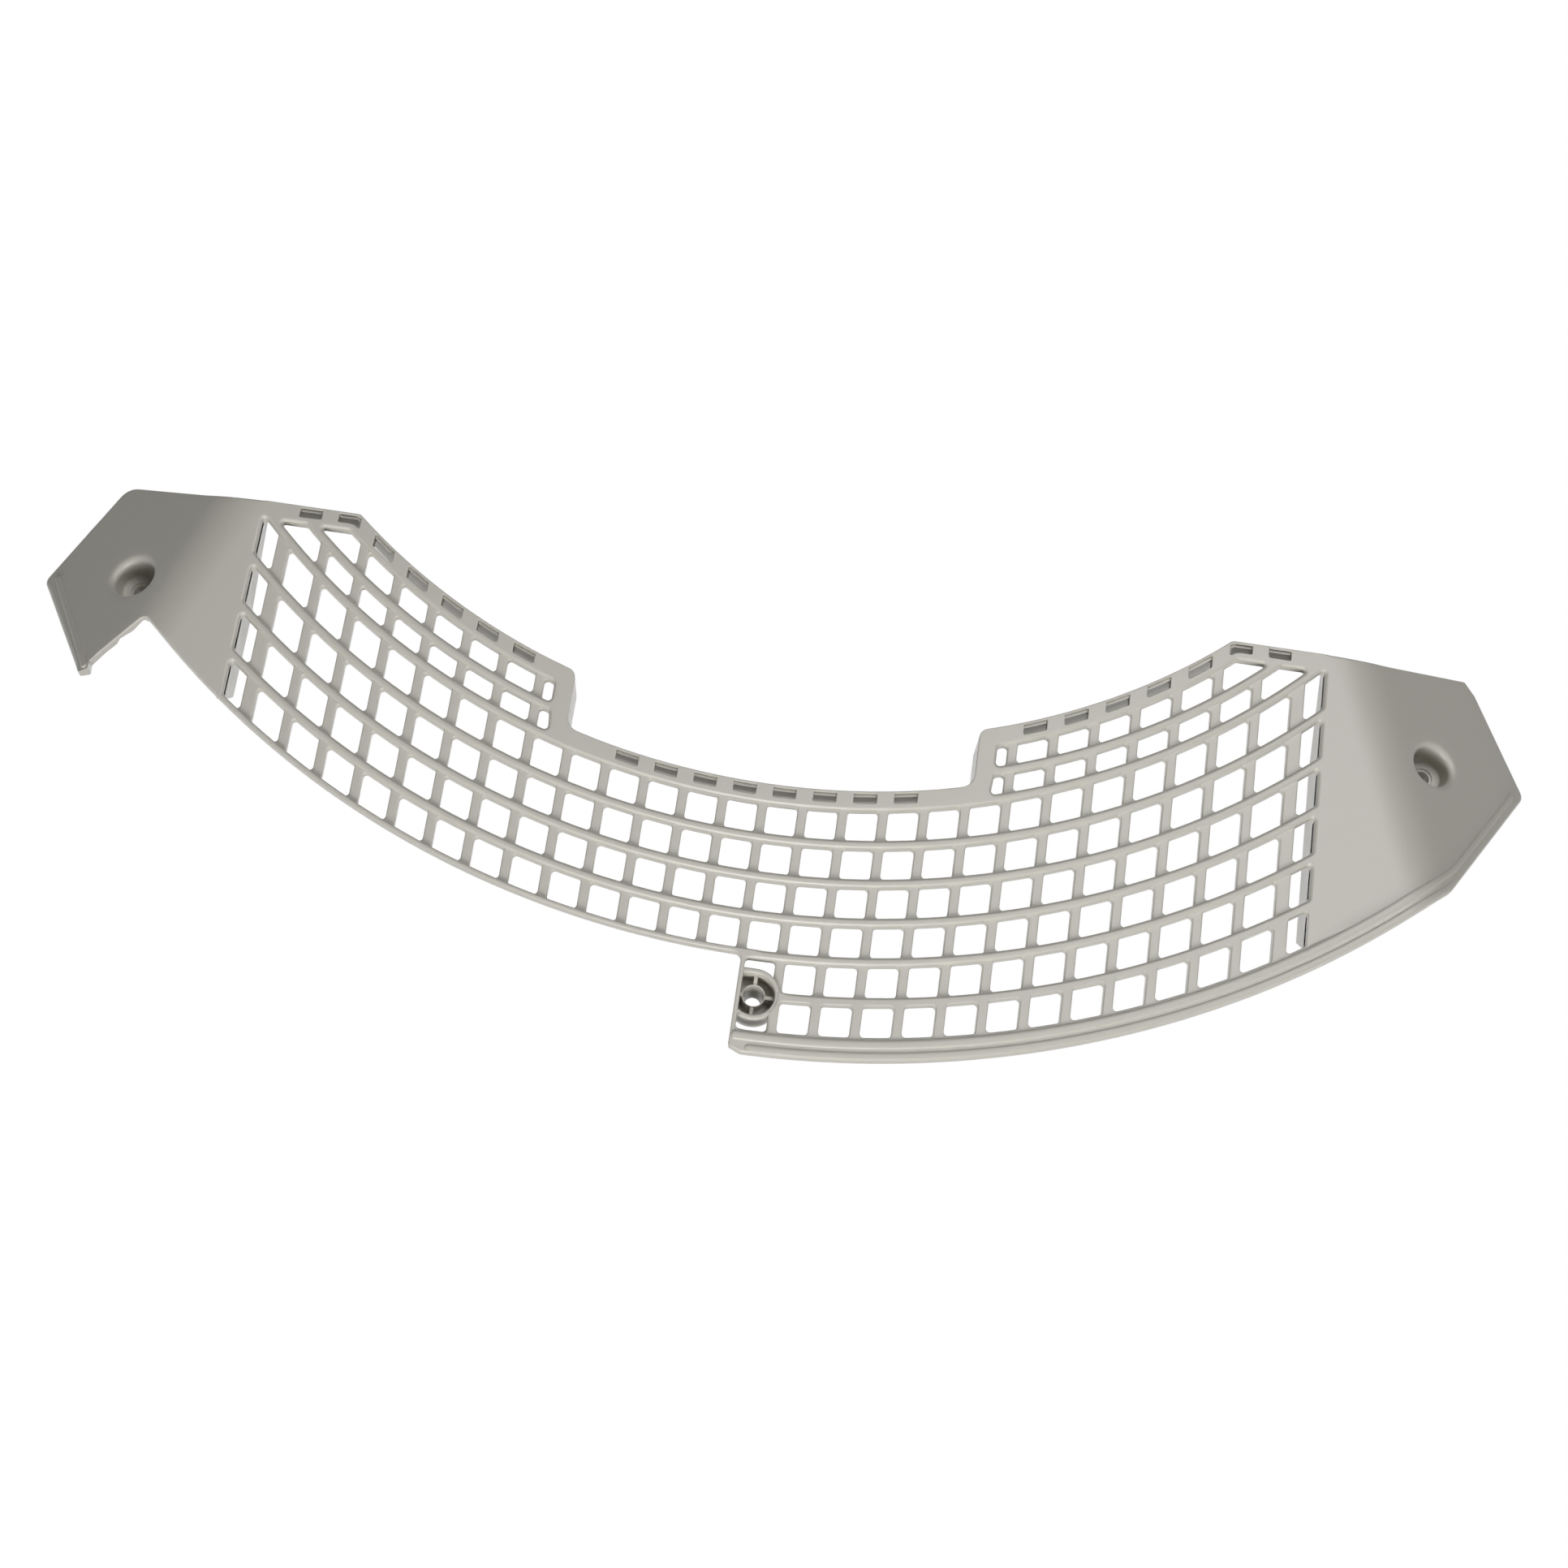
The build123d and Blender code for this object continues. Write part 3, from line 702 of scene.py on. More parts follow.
# Line of the rim from its left end to its right end, with the notch
def rim_half():
    """The right half of the rim line, from the middle out to its end on the straight top."""
    foot_arc = arc(NOTCH_R, 0.0, NOTCH_HALF_W)
    top_arc = arc(RIM_TOP_R, NOTCH_HALF_W, HORN_X)
    straight = [(FLANGE_END_X, TOP_EDGE), (RIM_END_X, TOP_EDGE), (RIM_END_X, FAR_ABOVE), (0.0, FAR_ABOVE)]
    points = foot_arc + top_arc + straight
    radii = [0.0] * len(points)
    radii[len(foot_arc) - 1] = NOTCH_FOOT_R
    radii[len(foot_arc)] = NOTCH_TOP_R
    radii[len(foot_arc) + len(top_arc) - 1] = HORN_CORNER_R
    return [p for p in rounded(*thinned(points, radii)) if p[1] < 0]


def thinned(points, radii):
    """Leaves out the points too near a rounded corner, so that the corner has room."""
    corners = [(p, r) for p, r in zip(points, radii) if r > 0]
    kept = []
    for p, r in zip(points, radii):
        gaps = [(sqrt((p[0] - q[0])**2 + (p[1] - q[1])**2), s) for q, s in corners]
        near_corner = any(0 < gap < CORNER_CLEARANCE * s for gap, s in gaps)
        if r > 0 or not near_corner:
            kept.append((p, r))
    return [p for p, _ in kept], [r for _, r in kept]


right_rim = rim_half()
rim_line = mirrored(right_rim)[:-1] + right_rim

# Outline of the whole part in the front view, clockwise from the right end of the rim
swing_start = GRILLE_HALF_W + WING_TOP_START
swing = [
    (swing_start + WING_TOP_SWING_R * sin(t), TOP_EDGE + WING_TOP_SWING_R * (1 - cos(t)))
    for t in np.linspace(0, WING_TOP_RISE, SWING_POINTS)
]
corner_x = GRILLE_HALF_W + WING_TOP_CORNER_OUT
top_corner = (corner_x, swing[-1][1] + (corner_x - swing[-1][0]) * tan(WING_TOP_RISE))
foot_x = GRILLE_HALF_W + WING_FOOT_OUT
foot = (foot_x, drop(OUTER_R, foot_x))
cut_inner_x = GRILLE_HALF_W + LEFT_CUT_INNER_OUT
cut_inner = (cut_inner_x, drop(LEFT_EDGE_R, cut_inner_x))
right_tip = wing_place(RIGHT_TIP)
left_tip = wing_place(LEFT_TIP)
cut_tip = wing_place(LEFT_CUT_TIP_AT)
cut_foot = wing_place(LEFT_CUT_FOOT_AT)
cut_heel = wing_place(LEFT_CUT_HEEL_AT)

outline = []
outline_radii = []


def go(points, radius=0.0):
    """Adds points to the outline."""
    for p in points:
        outline.append(p)
        outline_radii.append(radius)


# Down the right wing, along the outer edge and round the cut-out to the left wing, then back along the rim
go(swing)
go([top_corner], WING_TOP_CORNER_R)
go([(top_corner[0] + WING_TOP_CHAMFER, top_corner[1] - WING_TOP_CHAMFER)], WING_TOP_CHAMFER_R)
go([right_tip], WING_TIP_R)
go([foot], WING_FOOT_R)
cut_foot_x = CUT_X + CUT_FOOT[0]
go(arc(OUTER_R, foot_x - WING_FOOT_ROOM, cut_foot_x + CUT_FOOT_ROOM, OPENING_GAP))
go([(cut_foot_x, drop(OUTER_R, cut_foot_x))], CUT_FOOT_R)
go([(CUT_X, drop(OUTER_R, CUT_X) + CUT_FOOT[1])], CUT_FOOT_END_R)
go([(CUT_X, -LEFT_EDGE_R)], CUT_CORNER_R)
go(arc(LEFT_EDGE_R, CUT_X - EDGE_CORNER_ROOM, -cut_inner_x + EDGE_CORNER_ROOM, OPENING_GAP))
go([(-cut_inner[0], cut_inner[1])], LEFT_CUT_INNER_R)
go([(-cut_heel[0], cut_heel[1])], LEFT_CUT_HEEL_R)
go([(-cut_foot[0], cut_foot[1])], LEFT_CUT_FOOT_R)
go([(-cut_tip[0], cut_tip[1])], LEFT_CUT_TIP_R)
go([(-left_tip[0], left_tip[1])], WING_TIP_R)
go([(-top_corner[0], top_corner[1])], WING_TOP_ROUND)
go([(-x, y) for x, y in reversed(swing)])
go(rim_line)
whole = spaced(rounded(outline, outline_radii), OUTLINE_GAP)

# Slots of the rim
rim_closed = turned(rim_line + [(RIM_END_X, FAR_ABOVE), (-RIM_END_X, FAR_ABOVE)], False)
slot_top = offset_line(rim_closed, SLOT_SKIN)
slot_foot = offset_line(rim_closed, SLOT_SKIN + SLOT_H)


def line_between(points, x_from, x_to):
    """The part of a line between two x, with ends exactly there."""
    below = points[points[:, 1] < 0]
    below = below[np.argsort(below[:, 0])]
    xs = np.linspace(x_from, x_to, SLOT_POINTS)
    return list(zip(xs, np.interp(xs, below[:, 0], below[:, 1])))


slots = []
for column in [*NOTCH_SLOTS, *HORN_SLOTS]:
    middle = (column + 0.5) * PITCH
    x_from = middle - SLOT_HALF_W
    x_to = middle + SLOT_HALF_W
    if column in NOTCH_SLOTS:
        upper = [(x, drop(NOTCH_R + SLOT_SKIN, x)) for x in np.linspace(x_from, x_to, SLOT_POINTS)]
        lower = [(x, drop(NOTCH_R + SLOT_SKIN + SLOT_H, x)) for x, _ in upper]
    else:
        upper = line_between(slot_top, x_from, x_to)
        lower = line_between(slot_foot, x_from, x_to)
    between = [0.0] * (SLOT_POINTS - 2)
    radii = [SLOT_FOOT_CORNER_R, *between, SLOT_FOOT_CORNER_R, SLOT_TOP_CORNER_R, *between, SLOT_TOP_CORNER_R]
    slot = rounded(lower + upper[::-1], radii, SLOT_CORNER_STEPS)
    slots += [slot, mirrored(slot)]

# Points inside the wings, on lines along the bend, so that the bend is smooth
inside = []
tangent_reach = BEND_R * tan(BEND_ANGLE / 2)
for across in np.linspace(-tangent_reach, tangent_reach + BEND_LINES_PAST, BEND_LINES):
    for along in BEND_ALONG:
        x = BEND_X + across * cos(BEND_LEAN) + along * sin(BEND_LEAN)
        y = TOP_EDGE + across * sin(BEND_LEAN) - along * cos(BEND_LEAN)
        inside += [(x, y), (-x, y)]
for x in WING_GRID_X:
    for y in WING_GRID_Y:
        across = (x - BEND_X) * cos(BEND_LEAN) + (y - TOP_EDGE) * sin(BEND_LEAN)
        if across > tangent_reach + WING_GRID_FROM_BEND:
            inside += [(x, y), (-x, y)]


def clear_of(points, line, gap):
    """The points inside a closed line and at least a gap from it."""
    points = np.asarray(points, float)
    line = np.asarray(line, float)
    nxt = np.roll(line, -1, axis=0)
    keep = []
    for p in points:
        if np.min((line[:, 0] - p[0])**2 + (line[:, 1] - p[1])**2) < gap * gap:
            continue
        crosses = (line[:, 1] > p[1]) != (nxt[:, 1] > p[1])
        rise = nxt[:, 1] - line[:, 1]
        at = line[:, 0] + (p[1] - line[:, 1]) / np.where(rise == 0, 1e-12, rise) * (nxt[:, 0] - line[:, 0])
        if np.count_nonzero(crosses & (at > p[0])) % 2:
            keep.append(p)
    return np.array(keep)


inside = clear_of(inside, whole, INSIDE_FROM_EDGE)
inside = inside[np.abs(inside[:, 0]) > GRILLE_HALF_W + INSIDE_FROM_GRILLE]
widest_lip = COUNTERBORE_LIP * (1 + COUNTERBORE_LIP_SWING)
for side in (-1, 1):
    gap = np.hypot(inside[:, 0] - side * SCREW_X, inside[:, 1] - TOP_EDGE + SCREW_DOWN)
    inside = inside[gap > COUNTERBORE_MOUTH_R + widest_lip + INSIDE_FROM_BORE]


def circle(x, y, radius, steps=CIRCLE_STEPS):
    """Points round a circle."""
    turns = [2 * pi * k / steps for k in range(steps)]
    return [(x + radius * cos(t), y + radius * sin(t)) for t in turns]


def by_left_edge(points, start, end):
    """How far along a straight edge of the left wing each place is, as a share, and how far off the edge."""
    x, y = np.asarray(points, float).T
    run = np.subtract(end, start)
    from_start = (-x - start[0], y - start[1])
    along = (from_start[0] * run[0] + from_start[1] * run[1]) / np.dot(run, run)
    off_edge = (from_start[0] * run[1] - from_start[1] * run[0]) / np.hypot(*run)
    return along, np.abs(off_edge)


def face_back(points):
    """Thickness of the front shell: thin on the grille, where the web backs it, and full on the wings."""
    x, y = np.asarray(points, float).T
    thick = np.where(np.abs(x) > GRILLE_HALF_W + NEAR_GRILLE_END, WING_T, FRAME_BACK)
    along, off_edge = by_left_edge(points, cut_inner, cut_heel)
    on_wall = (off_edge < NEAR_LEFT_WALL) & (along > 0.0) & (along < LEFT_WALL_END)
    at_foot = (x < NEAR_LEFT_FOOT - cut_foot[0]) & (x > -cut_tip[0]) & (y < cut_heel[1] - BELOW_HEEL)
    foot_depth = np.interp(-x, (cut_foot[0], cut_tip[0]), (LEFT_FOOT_DEPTH, WING_T))
    thick = np.where(at_foot, foot_depth, thick)
    return np.where(on_wall, np.interp(along, LEFT_WALL_ALONG, LEFT_WALL_DEPTHS), thick)


def edge_round(points):
    """Radius of the outline's front edge, smaller where the material beside it is narrow."""
    x, y = np.asarray(points, float).T
    radius = np.full(len(x), EDGE_ROUND)
    from_axis = np.hypot(x, y)
    radius[(np.abs(x) < GRILLE_HALF_W) & (y > TOP_EDGE - NEAR_TOP)] = RIM_ROUND
    radius[(from_axis < NOTCH_R + NEAR_NOTCH) & (np.abs(x) < GRILLE_HALF_W)] = RIM_ROUND
    on_left_arc = (from_axis < LEFT_EDGE_R + NEAR_LEFT_ARC) & (from_axis > LEFT_EDGE_R - NEAR_LEFT_ARC)
    radius[(x < CUT_X + NEAR_CUT_X) & on_left_arc] = THIN_ROUND
    beside_cut = (x > CUT_X + CUT_SIDE_X[0]) & (x < CUT_X + CUT_SIDE_X[1])
    radius[beside_cut & (y < CUT_SIDE_BELOW - LEFT_EDGE_R)] = CUT_ROUND
    radius[(x < -cut_heel[0] + NEAR_HEEL[0]) & (y < cut_heel[1] + NEAR_HEEL[1])] = SHARP_ROUND
    along, off_edge = by_left_edge(points, cut_tip, left_tip)
    stops = LEFT_EDGE_ROUND_ALONG
    wide = np.interp(along, stops, (SHARP_ROUND, LEFT_EDGE_ROUND, LEFT_EDGE_ROUND, EDGE_ROUND))
    on_edge = (off_edge < NEAR_LEFT_EDGE) & (along > stops[0]) & (along < stops[-1])
    return np.where(on_edge, wide, radius)


def rail_round(points):
    """Radius of a rail's edges, smaller on the narrow lip at the lower left and beside the cut."""
    x, y = np.asarray(points, float).T
    from_axis = np.hypot(x, y)
    radius = np.full(len(x), RAIL_ROUND)
    radius[(x < LEFT_LIP_TO_X) & (from_axis > LEFT_EDGE_R - LEFT_LIP_REACH)] = THIN_ROUND
    radius[(x < LEFT_LIP_TO_X) & (x > 0) & (from_axis > LEFT_EDGE_R)] = CUT_ROUND
    radius[np.hypot(x - CUP_X, y - CUP_Y) < CUP_R] = SLOT_ROUND
    return radius


def lip_round(points):
    """Radius of a counterbore's edge, wide on the side where the wing falls away and narrow on the other."""
    x, y = np.asarray(points, float).T
    side = np.sign(x)
    outward = (x - side * SCREW_X) * side * cos(BEND_LEAN)
    upward = (y + ARC_AXIS_Z) * sin(BEND_LEAN)
    downhill = (outward + upward) / COUNTERBORE_MOUTH_R
    return COUNTERBORE_LIP * (1 + COUNTERBORE_LIP_SWING * downhill)


# The face: rim, rails and wings in one shell
face = Shell()
face_contours = [(whole, True, edge_round)]
face_contours += [(w, False, rail_round) for w in windows]
face_contours += [(h, False, CUT_ROUND) for h in flush_holes]
face_contours += [(s, False, SLOT_ROUND) for s in slots]
face_contours += [(circle(s * SCREW_X, -ARC_AXIS_Z, COUNTERBORE_MOUTH_R), False, lip_round) for s in (-1, 1)]
plate(face, face_contours, 0.0, face_back, inner=inside, depth_of=bend_depth)
face.make("face_and_wings")

# The web behind it, with the bars
web = Shell()
web_line = [p for p in whole if abs(p[0]) < GRILLE_HALF_W + WEB_OVERLAP]
web_line = offset_line(turned(web_line, True), WEB_INSET)
web_contours = [(web_line, True, 0.0)]
web_contours += [(h, False, BAR_ROUND) for h in web_holes]
web_contours += [(s, False, 0.0) for s in slots]
plate(web, web_contours, BAR_SET_BACK, PLATE_T, steps=BAR_ROUND_STEPS, back_round=BAR_BACK_ROUND)
web.make("bars")

# Flange behind the rim
flange = Shell()
flange_line = [p for p in rim_line if abs(p[0]) <= FLANGE_END_X]
closed = turned(flange_line + [(FLANGE_END_X, FAR_ABOVE), (-FLANGE_END_X, FAR_ABOVE)], False)
below = closed[:, 1] < 0
rim_top = closed[below]
rim_under = offset_line(closed, FLANGE_T)[below]
by_notch = np.abs(rim_top[:, 0]) < NOTCH_HALF_W + NOTCH_WALL_REACH
deep = np.where(by_notch, NOTCH_WALL_DEPTH, FLANGE_DEPTH)
flange_rows = [
    flange.add(world(rim_top, FLANGE_FRONT)),
    flange.add(world(rim_top, deep)),
    flange.add(world(rim_under, deep)),
    flange.add(world(rim_under, FLANGE_FRONT)),
]
flange.sweep(flange_rows, closed=False)
flange.make("flange")


# Beads: one inside the outer edge and up the wings, with a fine ridge and a soft ramp beside it, and the lip
def on_wing(points):
    """How far a place is from the band to the wing: 0 on the band, 1 on the wing."""
    x = np.abs(np.asarray(points, float)[:, 0])
    return np.interp(x, (foot_x - WING_BEAD_BLEND, foot_x), (0.0, 1.0))


def beside_wing(points):
    """Room of a bead on its inner side: none beside the grille or the cut-out, full along the wing."""
    x, y = np.asarray(points, float).T
    from_grille = np.interp(np.abs(x) - GRILLE_HALF_W, RAMP_FROM_GRILLE, (0.0, 1.0))
    from_cut = np.interp(y - cut_heel[1], RAMP_FROM_CUT, (0.0, 1.0))
    return np.where(x < 0, from_cut, from_grille)


def bead_section(spots):
    """How far the bead reaches to both sides of its path, and its height across."""
    wing = on_wing(spots)
    room = beside_wing(spots)
    half = BEAD_HALF_W + (WING_BEAD_HALF_W - BEAD_HALF_W) * wing

    def height(across):
        top = BEAD_H * np.sqrt(np.maximum(1 - (across / half)**2, 0))
        ridge = RIDGE_H * wing * (1 - ((across - RIDGE_OUT) / RIDGE_HALF_W)**2)
        ramp = RAMP_H * room * np.clip((half + RAMP_W - across) / RAMP_W, 0, 1)**2
        return np.maximum(np.maximum(top, ridge), np.where(across > half, ramp, 0.0))

    return half + RAMP_W * room, half, height


def lip_section(spots):
    """The same for the lip, which is lower on the wing."""
    wing = on_wing(spots)
    half = LIP_HALF_W + (WING_LIP_HALF_W - LIP_HALF_W) * wing

    def height(across):
        return LIP_H * (1 - WING_LIP_LOWER * wing) * np.sqrt(np.maximum(1 - (across / half)**2, 0))

    return half, half, height


def raised(shell, path, section):
    """A raised line along an open path on the face, with rounded ends."""
    path = np.asarray(path, float)
    run = np.concatenate(([0.0], np.cumsum(np.linalg.norm(np.diff(path, axis=0), axis=1))))
    end = WING_BEAD_HALF_W
    ends = end * (1 - np.cos(BEAD_END_TURNS))
    between = np.linspace(end, run[-1] - end, int(run[-1] / BEAD_GAP))[1:-1]
    stations = np.concatenate((ends, between, run[-1] - ends[::-1]))
    spots = np.column_stack((np.interp(stations, run, path[:, 0]), np.interp(stations, run, path[:, 1])))
    along = np.gradient(spots, stations, axis=0)
    along /= np.linalg.norm(along, axis=1)[:, None]
    left = np.column_stack((-along[:, 1], along[:, 0]))
    from_end = np.minimum(np.minimum(stations, run[-1] - stations) / end, 1.0)
    scale = np.sqrt(1 - (1 - from_end)**2)
    inner, outer, height = section(spots)
    rows = []
    for step in BEAD_STEPS:
        across = inner - (inner + outer) * step
        rise = height(across) * np.sqrt(scale)
        sink = np.where(across > RAMP_FOOT_SHARE * inner, RAMP_SINK, BEAD_SINK)
        rise = np.where(rise < BEAD_FLUSH, -sink, rise)
        points = spots + left * (across * scale)[:, None]
        rows.append(shell.add(world(points, bend_depth(points) - rise)))
    rows.append(shell.add(world(spots, bend_depth(spots) + 2 * BEAD_SINK)))
    shell.sweep(rows, closed=False)


def beside(start, end, insets, start_gap, end_gap):
    """A line inside an edge that runs up from one point to another, on the right."""
    start, end = Vector(start), Vector(end)
    along = (end - start).normalized()
    inward = Vector((-along.y, along.x))
    return start + along * start_gap + inward * insets[0], end - along * end_gap + inward * insets[1]


def up_the_wing(radius, from_x, insets, tip_gap):
    """A path along the band at a radius and on up the right wing, with a soft corner between."""
    wing_start, wing_end = beside(foot, right_tip, insets, 0.0, tip_gap)
    along = (wing_end - wing_start).normalized()
    closing = wing_start.dot(along)
    corner = wing_start + along * (-closing - sqrt(closing**2 - wing_start.length_squared + radius**2))
    band = arc(radius, from_x, corner.x - BEAD_TURN_ROOM, OPENING_GAP)
    path = band + [tuple(corner), tuple(wing_end)]
    points = rounded(path, [0.0] * len(band) + [BEAD_TURN_R, 0.0], BEAD_TURN_STEPS)
    back_steps = int(np.ceil(np.hypot(*np.subtract(points[0], points[-1])) / BEAD_GAP))
    return spaced(points, BEAD_GAP)[:-back_steps] + [points[-1]]


beads = Shell()
bead_path = up_the_wing(OUTER_R - BEAD_INSET, CUT_X + BEAD_FROM_CUT, RIGHT_BEAD_INSETS, RIGHT_BEAD_TIP_GAP)
lip_insets = (WING_LIP_INSET, WING_LIP_INSET)
lip_path = up_the_wing(OUTER_R - LIP_INSET, CUT_X + LIP_FROM_CUT, lip_insets, RIGHT_BEAD_TIP_GAP)
raised(beads, bead_path, bead_section)
raised(beads, lip_path, lip_section)
left_run = beside(cut_tip, left_tip, LEFT_BEAD_INSETS, LEFT_BEAD_FOOT_GAP, LEFT_BEAD_TIP_GAP)
left_path = [tuple(left_run[0].lerp(left_run[1], t)) for t in np.linspace(0, 1, LEFT_BEAD_POINTS)]
raised(beads, mirrored(left_path), bead_section)
beads.make("beads", BEAD_SMOOTH_ANGLE)

# Ribs behind the wings' inner edges
for side, name in ((-1, "left_rib"), (1, "right_rib")):
    foot_r = OUTER_R - BAND_W if side > 0 else LEFT_EDGE_R - LEFT_RIB_FOOT_GAP
    rib_foot = drop(foot_r, GRILLE_HALF_W)
    rib_shape = [
        (WING_T / 2, TOP_EDGE - RIB_TOP_GAP),
        (RIB_TOP_DEPTH, TOP_EDGE - RIB_TOP_GAP),
        (RIB_DEPTH, TOP_EDGE - RIB_SLOPE_H),
        (RIB_DEPTH, rib_foot + RIB_FOOT_H),
        (RIB_FOOT_DEPTH, rib_foot),
        (WING_T / 2, rib_foot),
    ]
    rib = Shell()
    rows = []
    for x in (side * GRILLE_HALF_W, side * (GRILLE_HALF_W + RIB_T)):
        rows.append(rib.add(world([(x, y) for _, y in rib_shape], [depth for depth, _ in rib_shape])))
    rib.strip(rows[0], rows[1])
    rib.faces.append(tuple(rows[0]))
    rib.faces.append(tuple(rows[1]))
    rib.make(name)


# Cup of the lower screw: a D-shaped wall, a floor, and the tube on its ribs
def d_shape(radius, flat_x):
    """The cup's line: round on the right and below, straight along the top to the flat left side."""
    low = -sqrt(radius**2 - (CUP_X - flat_x)**2)
    end = pi + np.arcsin(-low / radius)
    turns = np.linspace(pi / 2, end - 2 * pi, CUP_TURN_POINTS)
    points = [(CUP_X + radius * cos(t), CUP_Y + radius * sin(t)) for t in turns]
    return points + [(flat_x, CUP_Y + radius)]


def cup_front(points):
    """The flat left side of the cup stands back from the face."""
    on_flat = np.asarray(points, float)[:, 0] < CUT_X + CUP_FLAT_WALL + NEAR_CUP_FLAT
    return np.where(on_flat, CUP_FLAT_SET_BACK, 0.0)


def bar_shape(x_from, x_to, y_from, y_to):
    """A rectangle."""
    return [(x_from, y_from), (x_to, y_from), (x_to, y_to), (x_from, y_to)]


cup = Shell()
cup_outer = spaced(d_shape(CUP_R, CUT_X), CUP_GAP)
cup_pocket = spaced(d_shape(CUP_R - CUP_WALL, CUT_X + CUP_FLAT_WALL), CUP_GAP)
cup_floor = CUP_DEPTH - CUP_FLOOR_T
cup_contours = [(cup_outer, True, CUP_ROUND), (cup_pocket, False, CUP_ROUND)]
plate(cup, cup_contours, 0.0, lambda points: CUP_DEPTH - cup_front(points), depth_of=cup_front)
floor_line = offset_line(turned(cup_outer, True), CUP_FLAT_WALL / 2)
tube_line = circle(CUP_X, CUP_Y, TUBE_R - TUBE_FRONT_EDGE[0])
plate(cup, [(floor_line, True, 0.0), (tube_line, False, 0.0)], cup_floor, CUP_DEPTH - CUP_BACK_GAP)
tube_end = CUP_DEPTH + TUBE_BEHIND_CUP
tube_rows = [
    cup.add(world(circle(CUP_X, CUP_Y, radius), depth))
    for radius, depth in (
        (TUBE_R, tube_end - TUBE_BACK_EDGE),
        (TUBE_R, TUBE_SET_BACK + TUBE_FRONT_EDGE[1]),
        (TUBE_R - TUBE_FRONT_EDGE[0], TUBE_SET_BACK),
        (TUBE_MOUTH_R, TUBE_SET_BACK),
        (TUBE_HOLE_R, tube_end - TUBE_HOLE_L),
        (TUBE_HOLE_R, tube_end),
        (TUBE_R - TUBE_BACK_EDGE, tube_end),
    )
]
cup.sweep(tube_rows)
half_rib = CUP_RIB_T / 2
rib_end = CUP_R - CUP_WALL + CUP_RIB_OVERLAP
flat_end = CUT_X + CUP_FLAT_WALL - CUP_RIB_OVERLAP
tube_grip = TUBE_R - CUP_RIB_OVERLAP
for shape in (
    bar_shape(CUP_X + tube_grip, CUP_X + rib_end, CUP_Y - half_rib, CUP_Y + half_rib),
    bar_shape(flat_end, CUP_X - tube_grip, CUP_Y - half_rib, CUP_Y + half_rib),
    bar_shape(CUP_X - half_rib, CUP_X + half_rib, CUP_Y + tube_grip, CUP_Y + rib_end),
    bar_shape(CUP_X - half_rib, CUP_X + half_rib, CUP_Y - rib_end, CUP_Y - tube_grip),
):
    plate(cup, [(shape, True, CUP_RIB_ROUND)], CUP_RIB_SET_BACK, cup_floor + CUP_RIB_FLOOR_OVERLAP)
cup.make("screw_cup")

# Bosses of the wing screws, turned about the screw
for side, name in ((-1, "left_boss"), (1, "right_boss")):
    boss = Shell()
    ring = np.array(circle(0.0, 0.0, 1.0))
    seat = FACE_TO_SEAT
    head_seat = FACE_TO_SEAT - SCREW_FLOOR_T
    centre = np.array([side * SCREW_X, -ARC_AXIS_Z])
    rows = []
    for radius, depth in (
        (COUNTERBORE_MOUTH_R - COUNTERBORE_FIT, None),
        (COUNTERBORE_FLOOR_R + COUNTERBORE_FOOT_W, head_seat - COUNTERBORE_FOOT_H),
        (COUNTERBORE_FLOOR_R, head_seat - COUNTERBORE_FOOT_LOW_H),
        (COUNTERBORE_FLOOR_R - COUNTERBORE_FOOT_W, head_seat),
        (SCREW_STEP_R, head_seat),
        (SCREW_STEP_R, head_seat + SCREW_STEP_H),
        (SCREW_HOLE_R, head_seat + SCREW_STEP_H),
        (SCREW_HOLE_R, seat),
        (BOSS_FOOT_R - BOSS_FOOT_EDGE, seat),
        (BOSS_FOOT_R, seat - BOSS_FOOT_EDGE),
        (BOSS_FOOT_R, BOSS_STEP_DEPTH),
        (BOSS_R - BOSS_EDGE, BOSS_STEP_DEPTH),
        (BOSS_R, BOSS_STEP_DEPTH - BOSS_EDGE),
        (BOSS_R, None),
    ):
        points = ring * radius + centre
        if depth is None:
            low = bend_depth(points) + WING_T - WING_OVERLAP
        else:
            low = np.full(len(points), depth)
        rows.append(boss.add(world(points, low)))
    boss.sweep(rows)
    boss.make(name)

# Floor far below the part, white for the camera and pale grey for all other rays
FLOOR_Z = -1.7
FLOOR_HALF = 6.0
FLOOR_COLOUR = (0.85, 0.85, 0.85, 1.0)
FLOOR_ROUGHNESS = 0.9

floor_corners = [
    (-FLOOR_HALF, -FLOOR_HALF, FLOOR_Z),
    (FLOOR_HALF, -FLOOR_HALF, FLOOR_Z),
    (FLOOR_HALF, FLOOR_HALF, FLOOR_Z),
    (-FLOOR_HALF, FLOOR_HALF, FLOOR_Z),
]
floor_mesh = bpy.data.meshes.new("floor")
floor_mesh.from_pydata(floor_corners, [], [(0, 1, 2, 3)])
floor = bpy.data.objects.new("floor", floor_mesh)
bpy.context.scene.collection.objects.link(floor)
floor_material = bpy.data.materials.new("floor")
floor_material.use_nodes = True
nodes = floor_material.node_tree.nodes
links = floor_material.node_tree.links
matte = nodes["Principled BSDF"]
matte.inputs["Base Color"].default_value = FLOOR_COLOUR
matte.inputs["Roughness"].default_value = FLOOR_ROUGHNESS
ray = nodes.new("ShaderNodeLightPath")
white = nodes.new("ShaderNodeEmission")
mix = nodes.new("ShaderNodeMixShader")
links.new(ray.outputs["Is Camera Ray"], mix.inputs["Fac"])
links.new(matte.outputs["BSDF"], mix.inputs[1])
links.new(white.outputs["Emission"], mix.inputs[2])
links.new(mix.outputs["Shader"], nodes["Material Output"].inputs["Surface"])
floor.data.materials.append(floor_material)

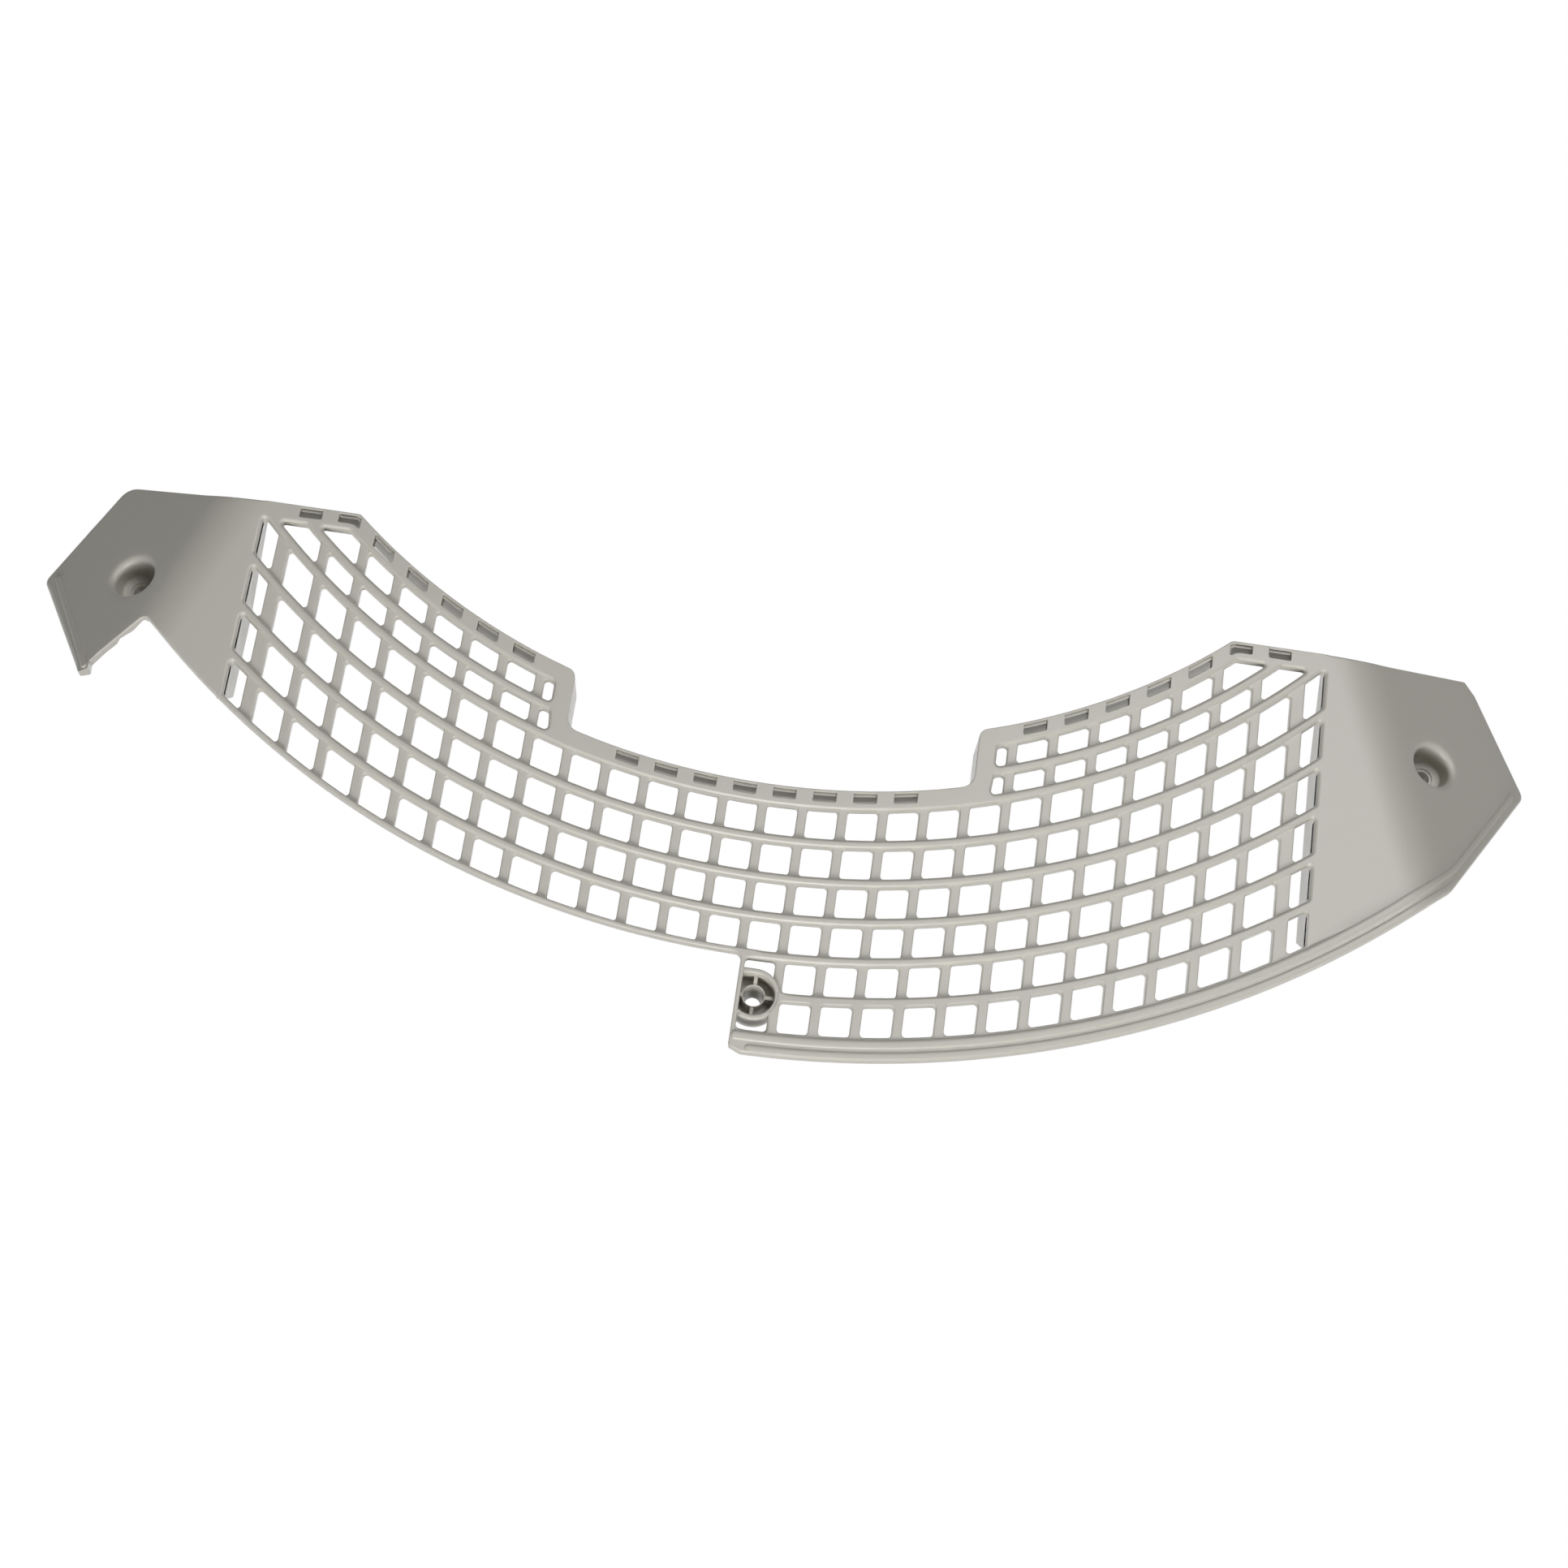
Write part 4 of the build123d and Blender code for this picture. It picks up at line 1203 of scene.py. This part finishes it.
# World: a faint light, and white for the camera, through clear material, and in mirrored rays to the back
WHITE = (1.0, 1.0, 1.0, 1.0)
WORLD_STRENGTH = 0.02
WHITE_STRENGTH = 1.0
BACKDROP_FROM = (0.0, 0.3)

world_light = bpy.data.worlds.new("world")
bpy.context.scene.world = world_light
world_light.use_nodes = True
nodes = world_light.node_tree.nodes
links = world_light.node_tree.links
faint = nodes["Background"]
faint.inputs["Color"].default_value = WHITE
faint.inputs["Strength"].default_value = WORLD_STRENGTH
white = nodes.new("ShaderNodeBackground")
white.inputs["Color"].default_value = WHITE
white.inputs["Strength"].default_value = WHITE_STRENGTH
ray = nodes.new("ShaderNodeLightPath")
seen = nodes.new("ShaderNodeMath")
seen.operation = "MAXIMUM"
links.new(ray.outputs["Is Camera Ray"], seen.inputs[0])
links.new(ray.outputs["Is Transmission Ray"], seen.inputs[1])
direction = nodes.new("ShaderNodeTexCoord")
parts = nodes.new("ShaderNodeSeparateXYZ")
behind = nodes.new("ShaderNodeMapRange")
behind.inputs["From Min"].default_value = BACKDROP_FROM[0]
behind.inputs["From Max"].default_value = BACKDROP_FROM[1]
links.new(direction.outputs["Generated"], parts.inputs["Vector"])
links.new(parts.outputs["Y"], behind.inputs["Value"])
glossy_behind = nodes.new("ShaderNodeMath")
glossy_behind.operation = "MULTIPLY"
links.new(ray.outputs["Is Glossy Ray"], glossy_behind.inputs[0])
links.new(behind.outputs["Result"], glossy_behind.inputs[1])
either = nodes.new("ShaderNodeMath")
either.operation = "MAXIMUM"
links.new(seen.outputs["Value"], either.inputs[0])
links.new(glossy_behind.outputs["Value"], either.inputs[1])
mix = nodes.new("ShaderNodeMixShader")
links.new(either.outputs["Value"], mix.inputs["Fac"])
links.new(faint.outputs["Background"], mix.inputs[1])
links.new(white.outputs["Background"], mix.inputs[2])
links.new(mix.outputs["Shader"], nodes["World Output"].inputs["Surface"])

# Lamps
LAMP_AWAY = 1.5
LAMP_SIZE = 0.6


def area_light(name, azimuth, elevation, power):
    """A soft square lamp aimed at the part: azimuth 0 is in front and 90 is to the right."""
    data = bpy.data.lights.new(name, "AREA")
    data.energy = power
    data.shape = "SQUARE"
    data.size = LAMP_SIZE
    lamp = bpy.data.objects.new(name, data)
    turn, rise = radians(azimuth), radians(elevation)
    towards = Vector((sin(turn) * cos(rise), -cos(turn) * cos(rise), sin(rise)))
    lamp.location = towards * LAMP_AWAY
    lamp.rotation_euler = (-towards).to_track_quat("-Z", "Y").to_euler()
    lamp.visible_camera = False
    bpy.context.scene.collection.objects.link(lamp)


area_light("from_below", 0.0, -65.0, 17.0)
area_light("from_front", 15.0, 5.0, 2.3)
area_light("from_front_above", 0.0, 22.0, 2.3)
area_light("from_right_above", 22.0, 22.0, 4.2)
area_light("from_back_above", 180.0, 20.0, 2.0)
area_light("from_back_left", -120.0, -30.0, 1.8)
area_light("from_back_right", 120.0, -30.0, 2.6)

# Camera, as solved from the grille's regular spacing in the photograph, with its shift in spacings
F_PX = 3200.0
IMAGE_PX = 1932.0
SENSOR_MM = 36.0
NEAREST_M = 0.01
ROLL = radians(8.280)
PAN = radians(0.190)
TILT = radians(-19.633)
SHIFT_IN_PITCHES = Vector((2.0974, -17.3987, 70.7260))
turn = Matrix.Rotation(ROLL, 3, "Z") @ Matrix.Rotation(PAN, 3, "Y") @ Matrix.Rotation(TILT, 3, "X")
shift = SHIFT_IN_PITCHES * PITCH
eye = -(turn.transposed() @ shift)


def from_plane(v):
    """A direction of the drawing (x right, y down, z back) in the part's frame."""
    return Vector((v[0], v[2], -v[1]))


camera_data = bpy.data.cameras.new("camera")
camera_data.sensor_fit = "HORIZONTAL"
camera_data.sensor_width = SENSOR_MM
camera_data.lens = F_PX / IMAGE_PX * SENSOR_MM
camera_data.clip_start = NEAREST_M
camera = bpy.data.objects.new("camera", camera_data)
right = from_plane(turn[0])
up = -from_plane(turn[1])
back = -from_plane(turn[2])
place = Matrix((right, up, back)).transposed().to_4x4()
place.translation = Vector((eye[0], eye[2] - FACE_TO_SEAT, ARC_AXIS_Z - eye[1])) * MM
camera.matrix_world = place
bpy.context.scene.collection.objects.link(camera)
bpy.context.scene.camera = camera

bpy.context.scene.view_settings.view_transform = "Standard"
